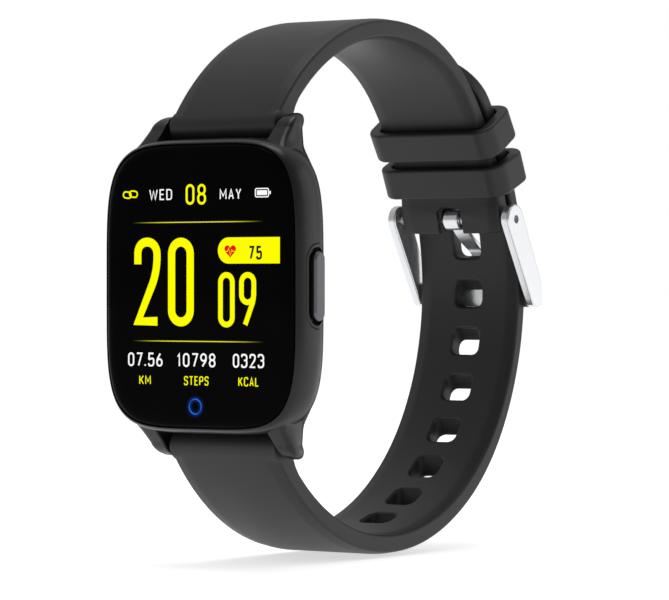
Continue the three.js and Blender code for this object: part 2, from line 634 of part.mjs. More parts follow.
function shortBand() {
  const cornerStart = SHORT_END_ANGLE + 2.2;
  const narrowing = (angle) => {
    const share = THREE.MathUtils.clamp((cornerStart - angle) / (cornerStart - SHORT_END_ANGLE), 0, 1);
    return 1 - 0.2 * (1 - Math.sqrt(1 - share * share));
  };
  const corners = [cornerStart, cornerStart - 1.1, cornerStart - 1.8];
  const strip = band(shortLine, SHORT_THICKENING, corners, narrowing);
  const lugBarrel = barrelAtLug(BAR_Z);
  const ends = [-END_BARREL_HALF_WIDTH, END_BARREL_HALF_WIDTH];
  const endBarrel = cylinderX(END_BARREL_RADIUS, ...ends, PIN.x, PIN.y, 24);
  const bores = [[BAR_Y, BAR_Z], [PIN.x, PIN.y]].map(([y, z]) => cylinderX(BARREL_BORE, -12, 12, y, z, 16));
  const notchShape = roundedRectangle(2 * NOTCH_HALF_WIDTH, 8, 0.8);
  const notch = new THREE.ExtrudeGeometry(notchShape, { depth: 12, bevelEnabled: false, curveSegments: 3 });
  notch.translate(0, 0, -6).rotateX(Math.PI / 2);
  acrossBand(notch, pointOn(shortLine, PIN_ANGLE - 1.9), PIN_ANGLE);
  return cut(joined(strip, lugBarrel, endBarrel), ...bores, notch);
}

function longBand() {
  const span = LONG_TIP_ANGLE - LONG_TIP_START_ANGLE;
  const narrowing = (angle) => {
    const share = THREE.MathUtils.clamp((angle - LONG_TIP_START_ANGLE) / span, 0, 0.985);
    return Math.sqrt(1 - share * share);
  };
  const tipAngles = [0.35, 0.6, 0.78, 0.9, 0.97].map((share) => LONG_TIP_START_ANGLE + span * share);
  const strip = band(longLine, LONG_THICKENING, tipAngles, narrowing);
  const lugBarrel = barrelAtLug(-BAR_Z);
  const bore = cylinderX(BARREL_BORE, -12, 12, BAR_Y, -BAR_Z, 16);
  const holes = [];
  for (let i = -HOLES_TOWARDS_CASE; i <= HOLES_TOWARDS_TIP; i++) {
    holes.push(holeCutter(i === 0 ? TONGUE_HOLE_ANGLE : walk(longLine, TONGUE_HOLE_ANGLE, i * HOLE_PITCH)));
  }
  return cut(joined(strip, lugBarrel), bore, ...holes);
}

function keeper(angle) {
  const middle = (KEEPER_INNER_RADIUS + KEEPER_OUTER_RADIUS) / 2;
  const outline = roundedRectangle(
    2 * KEEPER_HALF_WIDTH, KEEPER_OUTER_RADIUS - KEEPER_INNER_RADIUS, KEEPER_CORNER);
  const openingMiddle = (KEEPER_OPENING_INNER + KEEPER_OPENING_OUTER) / 2 - middle;
  outline.holes.push(
    roundedRectangle(
      2 * KEEPER_OPENING_HALF_WIDTH, KEEPER_OPENING_OUTER - KEEPER_OPENING_INNER, 0.4, 0, openingMiddle),
  );
  const settings = { depth: KEEPER_LENGTH, bevelEnabled: false, curveSegments: 4 };
  const geometry = new THREE.ExtrudeGeometry(outline, settings);
  geometry.translate(0, 0, -KEEPER_LENGTH / 2);
  return acrossBand(geometry, END_CENTRE.clone().addScaledVector(outward(angle), middle), angle);
}

// ---- Buckle -------------------------------------------------------------------------------------------------

function buckleFrame() {
  const arm = new THREE.Shape();
  arm.absarc(PIN.x, PIN.y, ARM_END_RADIUS, radians(20), radians(200));
  [[76.35, -2.4], [76.95, -3.2], [77.75, -3.6], [78.85, -3.6], [79.25, -3.1], [79.3, 0.3], [78.65, 1.9],
    [77.25, 4.6], [75.45, 8.0]].forEach(([y, z]) => arm.lineTo(y, z));
  const arms = [-1, 1].map((side) => extrudeX(arm, side * ARM_INNER_FACE, side * ARM_OUTER_FACE));
  const half = [[ARM_OUTER_FACE, 77.75], [ARM_OUTER_FACE, 78.55], [11.4, 79.25], [9.2, 79.6], [4.5, 79.75]];
  const inner = [[4.5, 78.33], [9.6, 78.3], [10.5, 77.75]];
  const bow = [...half, ...half.map(([x, y]) => [-x, y]).reverse(), ...inner.map(([x, y]) => [-x, y]).reverse(),
    ...inner];
  const crossbar = new THREE.ExtrudeGeometry(polygon(bow), {
    depth: CROSSBAR_TOP - CROSSBAR_BOTTOM, bevelEnabled: false,
  }).translate(0, 0, CROSSBAR_BOTTOM);
  return cut(joined(...arms, crossbar), cylinderX(ARM_HOLE_RADIUS, -14, 14, PIN.x, PIN.y, 16));
}

function bucklePin() {
  return joined(
    cylinderX(PIN_RADIUS, -PIN_BODY_HALF_LENGTH, PIN_BODY_HALF_LENGTH, PIN.x, PIN.y, 16),
    cylinderX(PIN_TIP_RADIUS, -PIN_HALF_LENGTH, PIN_HALF_LENGTH, PIN.x, PIN.y, 12),
  );
}

function buckleTongue() {
  const path = [[PIN.x + 1.0, PIN.y - 0.9], [74.55, 8.15], [76.55, 6.9], [78.15, 5.9], [79.45, 4.3],
    [80.1, 2.4], [80.35, 0.6], [80.35, -1.9]];
  const strip = extrudeX(ribbonOutline(path, TONGUE_THICKNESS, 16), -TONGUE_HALF_WIDTH, TONGUE_HALF_WIDTH);
  const barrel = cylinderX(TONGUE_BARREL_RADIUS, -TONGUE_HALF_WIDTH, TONGUE_HALF_WIDTH, PIN.x, PIN.y, 24);
  return cut(joined(strip, barrel), cylinderX(BARREL_BORE, -3, 3, PIN.x, PIN.y, 16));
}

// ---- Assembly -----------------------------------------------------------------------------------------------

const watch = new THREE.Group();
watch.position.set(0, -CASE_DEPTH, 0);
watch.add(
  named("case_frame", caseFrame(), CASE_BLACK),
  ...head(),
  ...back(),
  ...button(),
  ...springBar("upper", BAR_Z),
  ...springBar("lower", -BAR_Z),
  named("strap_short", shortBand(), SILICONE),
  named("strap_long", longBand(), SILICONE),
  named("keeper_fixed", keeper(FIXED_KEEPER_ANGLE), SILICONE),
  named("keeper_sliding", keeper(SLIDING_KEEPER_ANGLE), SILICONE),
  named("buckle_frame", buckleFrame(), POLISHED_STEEL),
  named("buckle_pin", bucklePin(), POLISHED_STEEL),
  named("buckle_tongue", buckleTongue(), POLISHED_STEEL),
);

const part = new THREE.Group();
part.add(watch);
export default part;
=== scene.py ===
"""The looks of a square smartwatch on a silicone strap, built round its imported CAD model.

Pieces are modelled in millimetres with Y = 0 on the front of the glass, +X towards the button and +Z towards
twelve o'clock. A finished piece is then set into the frame, which is in metres.
"""

from __future__ import annotations

import logging
import math
from collections.abc import Iterable, Sequence
from dataclasses import dataclass, field
from enum import Enum

import bmesh
import bpy
from mathutils import Matrix, Vector
from mathutils.geometry import interpolate_bezier


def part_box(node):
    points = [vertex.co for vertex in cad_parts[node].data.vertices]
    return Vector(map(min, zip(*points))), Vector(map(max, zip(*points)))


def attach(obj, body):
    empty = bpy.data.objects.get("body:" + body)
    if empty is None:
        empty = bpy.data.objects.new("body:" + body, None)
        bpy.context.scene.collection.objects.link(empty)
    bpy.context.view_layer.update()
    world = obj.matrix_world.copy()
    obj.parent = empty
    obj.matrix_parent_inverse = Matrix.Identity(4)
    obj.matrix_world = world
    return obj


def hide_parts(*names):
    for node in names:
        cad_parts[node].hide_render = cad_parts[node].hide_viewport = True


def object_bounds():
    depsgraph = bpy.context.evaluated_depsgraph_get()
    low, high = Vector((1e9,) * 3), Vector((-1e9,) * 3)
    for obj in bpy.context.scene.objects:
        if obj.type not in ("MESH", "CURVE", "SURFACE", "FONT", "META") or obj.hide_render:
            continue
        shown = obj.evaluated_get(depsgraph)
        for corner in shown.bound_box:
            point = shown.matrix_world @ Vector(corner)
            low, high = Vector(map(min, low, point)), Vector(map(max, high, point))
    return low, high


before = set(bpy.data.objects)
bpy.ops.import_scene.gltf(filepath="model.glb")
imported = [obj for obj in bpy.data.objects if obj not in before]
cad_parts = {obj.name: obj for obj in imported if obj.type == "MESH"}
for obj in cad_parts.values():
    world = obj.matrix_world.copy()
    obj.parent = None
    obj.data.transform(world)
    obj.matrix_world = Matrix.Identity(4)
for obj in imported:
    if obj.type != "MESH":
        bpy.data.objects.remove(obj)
CAD_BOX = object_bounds()

MM = 0.001
FACE_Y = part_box("cover_glass")[0].y
TO_FRAME = Matrix.Translation((0, FACE_Y, 0)) @ Matrix.Scale(MM, 4)

# The (Y, Z) of the upper spring bar, which the lower one mirrors.
BAR = Vector((8.72, 24.3))

Colour = tuple[float, float, float]
Corner = tuple[float, float, float]
Pair = tuple[float, float]
Place = tuple[float, float, float]

log = logging.getLogger("watch")


# ---- Places and curves ---------------------------------------------------------------------------


@dataclass(frozen=True)
class Extent:
    """The box of a CAD node, in millimetres of the face frame."""

    low: Vector
    high: Vector

    @classmethod
    def of(cls, node: str) -> Extent:
        """Returns the extent of a node by its name."""
        low, high = (TO_FRAME.inverted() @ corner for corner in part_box(node))
        return cls(low, high)

    @property
    def middle(self) -> Vector:
        """The box's centre."""
        return (self.low + self.high) / 2

    @property
    def size(self) -> Vector:
        """The box's sides."""
        return self.high - self.low


def smooth_step(value: float) -> float:
    """Returns 0 below 0, 1 above 1, and an S-curve between them."""
    share = min(1.0, max(0.0, value))
    return share * share * (3 - 2 * share)


def through(table: Sequence[Pair], place: float) -> float:
    """Reads a smooth curve that goes through a table of points.

    Args:
        table: (place, value) points, with the places rising.
        place: where to read the curve.

    Returns:
        The value there; beyond either end, the end's own value.
    """
    if place <= table[0][0]:
        return table[0][1]
    if place >= table[-1][0]:
        return table[-1][1]
    index = next(i for i in range(len(table) - 1) if table[i + 1][0] >= place)
    (x0, y0), (x1, y1) = table[index], table[index + 1]
    before = table[max(index - 1, 0)]
    after = table[min(index + 2, len(table) - 1)]
    slope0 = (y1 - before[1]) / (x1 - before[0])
    slope1 = (after[1] - y0) / (after[0] - x0)
    span = x1 - x0
    t = (place - x0) / span
    rise = 3 * t**2 - 2 * t**3
    lead = (t**3 - 2 * t**2 + t) * slope0 + (t**3 - t**2) * slope1
    return y0 * (1 - rise) + y1 * rise + lead * span


def rounded(corners: Sequence[Corner], segments: int = 4, closed: bool = True) -> list[Vector]:
    """Rounds the corners of an outline or a path.

    Args:
        corners: (u, v, cut) for each corner, where cut is how far from it the rounding starts.
        segments: steps in each rounding.
        closed: whether the last corner joins the first.

    Returns:
        The points, in the order of the corners.
    """
    points: list[Vector] = []
    count = len(corners)
    for i, (u, v, cut) in enumerate(corners):
        here = Vector((u, v))
        if cut <= 0 or (not closed and i in (0, count - 1)):
            points.append(here)
            continue
        before = Vector(corners[i - 1][:2]) - here
        after = Vector(corners[(i + 1) % count][:2]) - here
        reach = min(cut, 0.499 * before.length, 0.499 * after.length)
        turn = max(math.pi - before.angle(after), 1e-3)
        pull = reach * (1 - 4 / 3 * math.tan(turn / 4) / math.tan(turn / 2))
        before.normalize()
        after.normalize()
        ends = here + before * reach, here + before * pull, here + after * pull, here + after * reach
        points += interpolate_bezier(*ends, segments + 1)
    return points


def curve(points: Sequence[Pair], steps: int = 6) -> list[Vector]:
    """Returns a smooth path through points, with that many steps from each to the next."""
    knots = [Vector(point) for point in points]
    path = [knots[0]]
    for i in range(len(knots) - 1):
        start, end = knots[i], knots[i + 1]
        lead = (end - knots[max(i - 1, 0)]) / 6
        trail = (knots[min(i + 2, len(knots) - 1)] - start) / 6
        path += interpolate_bezier(start, start + lead, end - trail, end, steps + 1)[1:]
    return path


def pill(width: float, length: float, grow: float = 0.0, segments: int = 8) -> list[Vector]:
    """Returns the outline of a pill that stands along v, grown all round by a margin."""
    half = width / 2 + grow
    return box_outline(half, length / 2 + grow, half, segments)


def box_outline(half_u: float, half_v: float, cut: float, segments: int = 4) -> list[Vector]:
    """Returns the outline of a rectangle with rounded corners, centred on zero."""
    signs = ((1, -1), (1, 1), (-1, 1), (-1, -1))
    return rounded([(u * half_u, v * half_v, cut) for u, v in signs], segments)


def disc(radius: float, segments: int = 8) -> list[Vector]:
    """Returns the outline of a disc, centred on zero."""
    return box_outline(radius, radius, radius, segments)


# ---- Mesh making ---------------------------------------------------------------------------------


class Join(Enum):
    """How one solid acts on another."""

    ADD = "UNION"
    CUT = "DIFFERENCE"


@dataclass(frozen=True)
class Tag:
    """What a finished piece is called, rides on, takes its finish from and stands for."""

    name: str
    body: str
    slot: str
    finish: bpy.types.Material
    replaces: tuple[str, ...] = ()


class Form:
    """A closed mesh in the making, in millimetres of the face frame."""

    def __init__(self) -> None:
        """Starts an empty mesh whose vertices can be numbered."""
        self.bm = bmesh.new()
        self.order = self.bm.verts.layers.int.new("order")

    def chain(self, points: Iterable[Sequence[float]], closed: bool) -> list[bmesh.types.BMEdge]:
        """Adds a chain of edges.

        Args:
            points: the places of its vertices.
            closed: whether the last vertex joins the first.

        Returns:
            The edges; the vertices are numbered in order.
        """
        verts = [self.bm.verts.new(point) for point in points]
        for number, vert in enumerate(verts):
            vert[self.order] = number
        pairs = list(zip(verts, verts[1:])) + ([(verts[-1], verts[0])] if closed else [])
        return [self.bm.edges.new(pair) for pair in pairs]

    def tidy(self) -> Form:
        """Merges doubles and turns every face outwards."""
        bmesh.ops.remove_doubles(self.bm, verts=self.bm.verts, dist=1e-5)
        bmesh.ops.recalc_face_normals(self.bm, faces=self.bm.faces)
        return self

    def spin(self, profile: Sequence[Pair], steps: int) -> Form:
        """Spins a profile of (radius, Y), which starts and ends on the axis, about the Y axis."""
        edges = self.chain([(radius, y, 0) for radius, y in profile], False)
        verts = list({vert for edge in edges for vert in edge.verts})
        bmesh.ops.spin(self.bm, geom=verts + edges, axis=(0, 1, 0), cent=(0, 0, 0), angle=math.tau,
                       steps=steps, use_merge=True)
        return self.tidy()

    def loft(self, rings: Sequence[Sequence[Vector]], closed: bool = False) -> Form:
        """Draws a skin through rings of equal count.

        Args:
            rings: the rings, each with its points in the same order.
            closed: whether the last ring joins the first; if not, both ends are capped.

        Returns:
            The form itself.
        """
        start = self.chain(rings[0], True)
        edges = start
        for ring in [*rings[1:], *([rings[0]] if closed else [])]:
            grown = bmesh.ops.extrude_edge_only(self.bm, edges=edges)["geom"]
            fresh = {item for item in grown if isinstance(item, bmesh.types.BMVert)}
            for vert in fresh:
                vert.co = ring[vert[self.order]]
            edges = [item for item in grown
                     if isinstance(item, bmesh.types.BMEdge) and fresh.issuperset(item.verts)]
        if not closed:
            for rim in (start, edges):
                bmesh.ops.contextual_create(self.bm, geom=rim)
        return self.tidy()

    def prism(self, outline: Sequence[Vector], depth: Vector) -> Form:
        """Extrudes a flat outline along a vector."""
        return self.loft([outline, [point + depth for point in outline]])

    def rod(self, radius: float, start: Sequence[float], end: Sequence[float], sides: int = 48) -> Form:
        """Adds a round rod between two points."""
        start, end = Vector(start), Vector(end)
        turn = (end - start).to_track_quat("Z", "Y").to_matrix().to_4x4()
        bmesh.ops.create_cone(self.bm, cap_ends=True, segments=sides, radius1=radius, radius2=radius,
                              depth=(end - start).length, matrix=Matrix.Translation((start + end) / 2) @ turn)
        return self

    def move(self, matrix: Matrix) -> Form:
        """Moves, turns or mirrors the whole form."""
        bmesh.ops.transform(self.bm, matrix=matrix, verts=self.bm.verts)
        return self.tidy() if matrix.determinant() < 0 else self

    def bevel(self, width: float, segments: int = 3, angle: float = 40.0) -> Form:
        """Rounds every edge that is sharper than an angle in degrees."""
        sharp = [edge for edge in self.bm.edges if edge.calc_face_angle(0.0) > math.radians(angle)]
        bmesh.ops.bevel(self.bm, geom=sharp, offset=width, offset_type="OFFSET", segments=segments,
                        profile=0.5, affect="EDGES", material=-1, clamp_overlap=True)
        return self

    def include(self, other: Form) -> Form:
        """Adds a copy of another form's mesh, without joining the two into one solid."""
        mesh = bpy.data.meshes.new("copy")
        other.bm.to_mesh(mesh)
        self.bm.from_mesh(mesh)
        bpy.data.meshes.remove(mesh)
        return self

    def combine(self, how: Join, *tools: Form) -> Form:
        """Adds solids to this one, or cuts them from it, one after another."""
        for tool in tools:
            base, other = self.to_object("base"), tool.to_object("tool")
            modifier = base.modifiers.new("join", "BOOLEAN")
            modifier.operation = how.value
            modifier.solver = "EXACT"
            modifier.object = other
            mesh = evaluated(base)
            self.bm.clear()
            self.bm.from_mesh(mesh)
            for spare in (base, other):
                bpy.data.meshes.remove(spare.data)
            bpy.data.meshes.remove(mesh)
        self.order = self.bm.verts.layers.int.get("order") or self.bm.verts.layers.int.new("order")
        return self

    def to_object(self, name: str) -> bpy.types.Object:
        """Puts a copy of the mesh in the scene as an object, still in millimetres."""
        mesh = bpy.data.meshes.new(name)
        self.bm.to_mesh(mesh)
        obj = bpy.data.objects.new(name, mesh)
        bpy.context.scene.collection.objects.link(obj)
        return obj

    def place(self, tag: Tag, crease: float = 32.0) -> None:
        """Finishes the piece: shades it, sets it into the frame and makes it ride on its body.

        Args:
            tag: the piece's name, body, slot, finish and the nodes that it stands for.
            crease: an edge sharper than this, in degrees, stays crisp.
        """
        for edge in self.bm.edges:
            edge.smooth = edge.calc_face_angle(0.0) < math.radians(crease)
        for face in self.bm.faces:
            face.smooth = True
        obj = self.to_object(tag.name)
        modifier = obj.modifiers.new("normals", "WEIGHTED_NORMAL")
        modifier.keep_sharp = True
        rough, obj.data = obj.data, evaluated(obj)
        obj.modifiers.clear()
        bpy.data.meshes.remove(rough)
        obj.data.name = tag.name
        obj.data.transform(TO_FRAME)
        obj.data.materials.clear()
        obj.data.materials.append(tag.finish)
        self.bm.free()
        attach(obj, tag.body)
        if tag.replaces:
            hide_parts(*tag.replaces)
        log.info("%s: %d faces on %s", tag.name, len(obj.data.polygons), tag.body)


def evaluated(obj: bpy.types.Object) -> bpy.types.Mesh:
    """Returns a new mesh of the object with its modifiers applied."""
    return bpy.data.meshes.new_from_object(obj.evaluated_get(bpy.context.evaluated_depsgraph_get()))


def drawn_y(outline: Sequence[Vector], y: float, x: float = 0.0, z: float = 0.0) -> list[Vector]:
    """Returns an outline of (X, Z) points as a ring at one depth."""
    return [Vector((x + point.x, y, z + point.y)) for point in outline]


def drawn_x(outline: Sequence[Vector], x: float) -> list[Vector]:
    """Returns an outline of (Y, Z) points as a ring at one X."""
    return [Vector((x, point.x, point.y)) for point in outline]


# ---- Finishes ------------------------------------------------------------------------------------


class Wire:
    """A value in a node tree, so that its maths is written as plain expressions."""

    def __init__(self, nodes: Nodes, socket: bpy.types.NodeSocket) -> None:
        """Wraps an output socket of a node."""
        self.nodes = nodes
        self.socket = socket

    def __add__(self, other: Wire | float) -> Wire:
        """Returns the sum."""
        return self.nodes.maths("ADD", self, other)

    __radd__ = __add__

    def __mul__(self, other: Wire | float) -> Wire:
        """Returns the product."""
        return self.nodes.maths("MULTIPLY", self, other)

    __rmul__ = __mul__

    def __sub__(self, other: Wire | float) -> Wire:
        """Returns the difference."""
        return self.nodes.maths("SUBTRACT", self, other)

    def __rsub__(self, other: float) -> Wire:
        """Returns a number less this value."""
        return self.nodes.maths("SUBTRACT", other, self)

    def __pow__(self, power: float) -> Wire:
        """Returns this value to a power."""
        return self.nodes.maths("POWER", self, power)

    def __abs__(self) -> Wire:
        """Returns the size of the value."""
        return self.nodes.maths("ABSOLUTE", self)

    def ramp(self, low: float, high: float) -> Wire:
        """Returns 0 below low, 1 above high, and an S-curve between; low may be the greater."""
        return self.nodes.node("ShaderNodeMapRange", {"interpolation_type": "SMOOTHSTEP"},
                               {"Value": self, "From Min": low, "From Max": high})


class Nodes:
    """A node tree, and the one way to add nodes to it."""

    def __init__(self, tree: bpy.types.NodeTree) -> None:
        """Takes the tree."""
        self.tree = tree

    def node(self, kind: str, settings: dict[str, object] | None = None,
             inputs: dict[str | int, object] | None = None, output: str | int = 0) -> Wire:
        """Adds a node.

        Args:
            kind: the node's type.
            settings: its own settings, which are set before its sockets.
            inputs: a value or a Wire for each socket, by name or number.
            output: which of its outputs is wanted.

        Returns:
            The wanted output.
        """
        node = self.tree.nodes.new(kind)
        for key, value in (settings or {}).items():
            setattr(node, key, value)
        for key, value in (inputs or {}).items():
            if isinstance(value, Wire):
                self.tree.links.new(value.socket, node.inputs[key])
            else:
                node.inputs[key].default_value = value
        return Wire(self, node.outputs[output])

    def maths(self, operation: str, *values: Wire | float) -> Wire:
        """Adds a Math node on some values."""
        return self.node("ShaderNodeMath", {"operation": operation}, dict(enumerate(values)))


class Shader(Nodes):
    """A procedural material: its Principled shader, and the ways to feed it."""

    def __init__(self, name: str, **constants: float | tuple[float, ...]) -> None:
        """Makes the material.

        Args:
            name: the material's name.
            constants: values of the Principled shader's own sockets, with _ for a space in the socket's name.
        """
        self.material = bpy.data.materials.new(name)
        self.material.use_nodes = True
        super().__init__(self.material.node_tree)
        self.surface = self.tree.nodes["Principled BSDF"]
        for key, value in constants.items():
            socket = self.surface.inputs[key.replace("_", " ")]
            wants_alpha = socket.type == "RGBA" and len(value) == 3
            socket.default_value = (*value, 1.0) if wants_alpha else value

    def place(self, stretch: Place = (1, 1, 1), centre: Place = (0, 0, 0)) -> Wire:
        """Returns Object coordinates in millimetres of the frame, stretched by a share along each axis."""
        points = self.node("ShaderNodeTexCoord", output="Object")
        scale = [share / MM for share in stretch]
        shift = [-c * share for c, share in zip(centre, stretch)]
        return self.node("ShaderNodeMapping", None, {"Vector": points, "Scale": scale, "Location": shift})

    def noise(self, size: float, detail: float = 3.0, stretch: Place = (1, 1, 1)) -> Wire:
        """Returns noise from 0 to 1 whose lumps are about that many millimetres across."""
        return self.node("ShaderNodeTexNoise", None,
                         {"Vector": self.place(stretch), "Scale": 1 / size, "Detail": detail})

    def axes(self, place: Wire) -> tuple[Wire, Wire, Wire]:
        """Returns the three numbers of a place."""
        split = self.node("ShaderNodeSeparateXYZ", None, {"Vector": place})
        return tuple(Wire(self, socket) for socket in split.socket.node.outputs)

    def blend(self, share: Wire, low: Colour | Wire, high: Colour) -> Wire:
        """Mixes two colours by a share from 0 to 1."""
        first = low if isinstance(low, Wire) else (*low, 1.0)
        return self.node("ShaderNodeMix", {"data_type": "RGBA"}, {0: share, 6: first, 7: (*high, 1.0)}, 2)

    def feed(self, socket: str, wire: Wire) -> Shader:
        """Links a value to one of the surface's sockets."""
        self.tree.links.new(wire.socket, self.surface.inputs[socket])
        return self

    def relief(self, height: Wire, depth: float) -> Shader:
        """Raises the surface by a height from 0 to 1, times a depth in millimetres."""
        bump = self.node("ShaderNodeBump", None,
                         {"Height": height, "Distance": depth * MM, "Strength": 1.0})
        return self.feed("Normal", bump)


def shade(colour: Colour, factor: float) -> Colour:
    """Returns a colour made lighter or darker."""
    return tuple(min(1.0, channel * factor) for channel in colour)


@dataclass(frozen=True)
class Moulded:
    """Moulded rubber or plastic, with a fine grain and a faint mottle."""

    name: str
    colour: Colour
    roughness: float
    grain: float = 0.16
    depth: float = 0.004
    mottle: float = 0.12
    specular: float = 0.5
    mottle_size: float = 7.0
    patchy: float = 0.06
    gritty: float = 0.04

    def material(self) -> bpy.types.Material:
        """Returns the material."""
        shader = Shader(self.name, Specular_IOR_Level=self.specular)
        broad = shader.noise(self.mottle_size, 4.0)
        fine = shader.noise(self.grain, 2.0)
        dark, light = (shade(self.colour, 1 + sign * self.mottle) for sign in (-1, 1))
        even = self.roughness - (self.patchy + self.gritty) / 2
        shader.feed("Base Color", shader.blend(broad, dark, light))
        shader.feed("Roughness", even + self.patchy * broad + self.gritty * fine)
        shader.relief(fine, self.depth)
        return shader.material


@dataclass(frozen=True)
class Metal:
    """Polished, brushed or plated metal."""

    name: str
    colour: Colour
    roughness: float
    brushing: Place = (1, 1, 1)
    grain: float = 0.6
    depth: float = 0.0006
    haze: float = 0.08
    haze_size: float = 5.0
    solid: float = 1.0

    def material(self) -> bpy.types.Material:
        """Returns the material."""
        shader = Shader(self.name, Metallic=self.solid)
        hazy = shader.noise(self.haze_size, 3.0)
        lines = shader.noise(self.grain, 4.0, self.brushing)
        shader.feed("Base Color", shader.blend(lines, shade(self.colour, 0.93), shade(self.colour, 1.04)))
        shader.feed("Roughness", self.roughness + self.haze * hazy * lines)
        shader.relief(lines, self.depth)
        return shader.material


@dataclass(frozen=True)
class BlackGlass:
    """Polished glass with black paint behind it, clean but for a faint unevenness."""

    name: str
    reflection: float
    darkest: Colour = (0.0012, 0.0012, 0.0014)
    lightest: Colour = (0.0022, 0.0022, 0.0025)
    roughness: float = 0.03

    def material(self) -> bpy.types.Material:
        """Returns the material."""
        shader = Shader(self.name, Specular_IOR_Level=self.reflection)
        broad = shader.noise(9.0, 3.0)
        shader.feed("Base Color", shader.blend(broad, self.darkest, self.lightest))
        shader.feed("Roughness", self.roughness * (1 + broad))
        return shader.material


@dataclass(frozen=True)
class SensorGlass:
    """Smoked glass over the pulse sensor, clear in front of its two lamps and its detector."""

    name: str
    lamp_x: float
    lamp_radius: float
    eye_half: float
    smoke: Colour = (0.004, 0.004, 0.005)
    lamp: Colour = (0.07, 0.19, 0.08)
    eye: Colour = (0.035, 0.03, 0.045)
    lamp_edge: float = 0.12
    eye_edge: float = 0.1

    def material(self) -> bpy.types.Material:
        """Returns the material."""
        shader = Shader(self.name, Specular_IOR_Level=0.5, Coat_Weight=0.4, Coat_Roughness=0.03)
        x, _, z = shader.axes(shader.place())
        across = abs(x) - self.lamp_x
        lamp = ((across * across + z * z) ** 0.5).ramp(self.lamp_radius, self.lamp_radius - self.lamp_edge)
        eye = shader.maths("MAXIMUM", abs(x), abs(z)).ramp(self.eye_half, self.eye_half - self.eye_edge)
        haze = shader.noise(1.5, 3.0)
        shader.feed("Base Color", shader.blend(eye, shader.blend(lamp, self.smoke, self.lamp), self.eye))
        shader.feed("Roughness", 0.06 + 0.05 * haze)
        return shader.material


@dataclass(frozen=True)
class CircuitBoard:
    """Lacquered board with traces and plated pads."""

    name: str
    colour: Colour = (0.008, 0.06, 0.028)
    plating: Colour = (0.72, 0.47, 0.18)

    def material(self) -> bpy.types.Material:
        """Returns the material."""
        black, white = (0, 0, 0, 1), (1, 1, 1, 1)
        shader = Shader(self.name, Coat_Weight=0.3, Coat_Roughness=0.2)
        traces = shader.node("ShaderNodeTexBrick", {"offset": 0.37, "squash": 1.4},
                             {"Vector": shader.place((1, 0, 1)), "Scale": 0.6, "Mortar Size": 0.03,
                              "Color1": black, "Color2": black, "Mortar": white})
        cells = shader.node("ShaderNodeTexVoronoi", None, {"Vector": shader.place(), "Scale": 0.7})
        pads = cells.ramp(0.2, 0.16)
        lacquer = shader.blend(traces, self.colour, shade(self.colour, 2.4))
        shader.feed("Base Color", shader.blend(pads, lacquer, self.plating))
        shader.feed("Metallic", pads)
        shader.feed("Roughness", 0.5 - 0.2 * pads)
        return shader.material


@dataclass(frozen=True)
class Foil:
    """Crinkled wrapping of the cell, or a thin amber film."""

    name: str
    colour: Colour
    metallic: float
    roughness: float = 0.3
    crinkle: float = 1.4
    depth: float = 0.03

    def material(self) -> bpy.types.Material:
        """Returns the material."""
        shader = Shader(self.name, Metallic=self.metallic)
        folds = shader.noise(self.crinkle, 5.0)
        shader.feed("Base Color", shader.blend(folds, shade(self.colour, 0.8), shade(self.colour, 1.1)))
        shader.feed("Roughness", self.roughness + 0.15 * folds)
        shader.relief(folds, self.depth)
        return shader.material


class Fade(Enum):
    """How a lit figure fades away at its edges."""

    NONE = "even"
    ENDS = "both ends"
    HALO = "halo"


@dataclass(frozen=True)
class Lit:
    """A lit figure of the display, which may fade along its reach or glow round a ring of that radius."""

    name: str
    colour: Colour
    fade: Fade = Fade.NONE
    centre: Place = (0, 0, 0)
    reach: float = 1.0
    ring_width: Pair = (0.13, 0.02)
    glow_width: float = 0.7
    glow: float = 0.05

    def material(self) -> bpy.types.Material:
        """Returns the material."""
        shader = Shader(self.name, Base_Color=(0, 0, 0), Specular_IOR_Level=0.0, Roughness=0.6,
                        Emission_Color=self.colour, Emission_Strength=1.0)
        x, _, z = shader.axes(shader.place(centre=self.centre))
        if self.fade is Fade.ENDS:
            shader.feed("Alpha", abs(x).ramp(self.reach, self.reach * 0.15))
        elif self.fade is Fade.HALO:
            away = abs((x * x + z * z) ** 0.5 - self.reach)
            lively = 0.25 + 0.6 * abs(x + z).ramp(0.2, 1.6)
            strength = away.ramp(*self.ring_width) * lively + self.glow * away.ramp(self.glow_width, 0.0)
            shader.feed("Alpha", shader.maths("MINIMUM", strength, 1.0))
        else:
            cells = shader.noise(0.12, 1.0)
            shader.feed("Emission Color", shader.blend(cells, shade(self.colour, 0.97), self.colour))
        return shader.material


def made(recipe: Moulded | Metal | BlackGlass | SensorGlass | CircuitBoard | Foil) -> bpy.types.Material:
    """Returns a field that holds a recipe's material, made when the finishes are."""
    return field(default_factory=recipe.material)


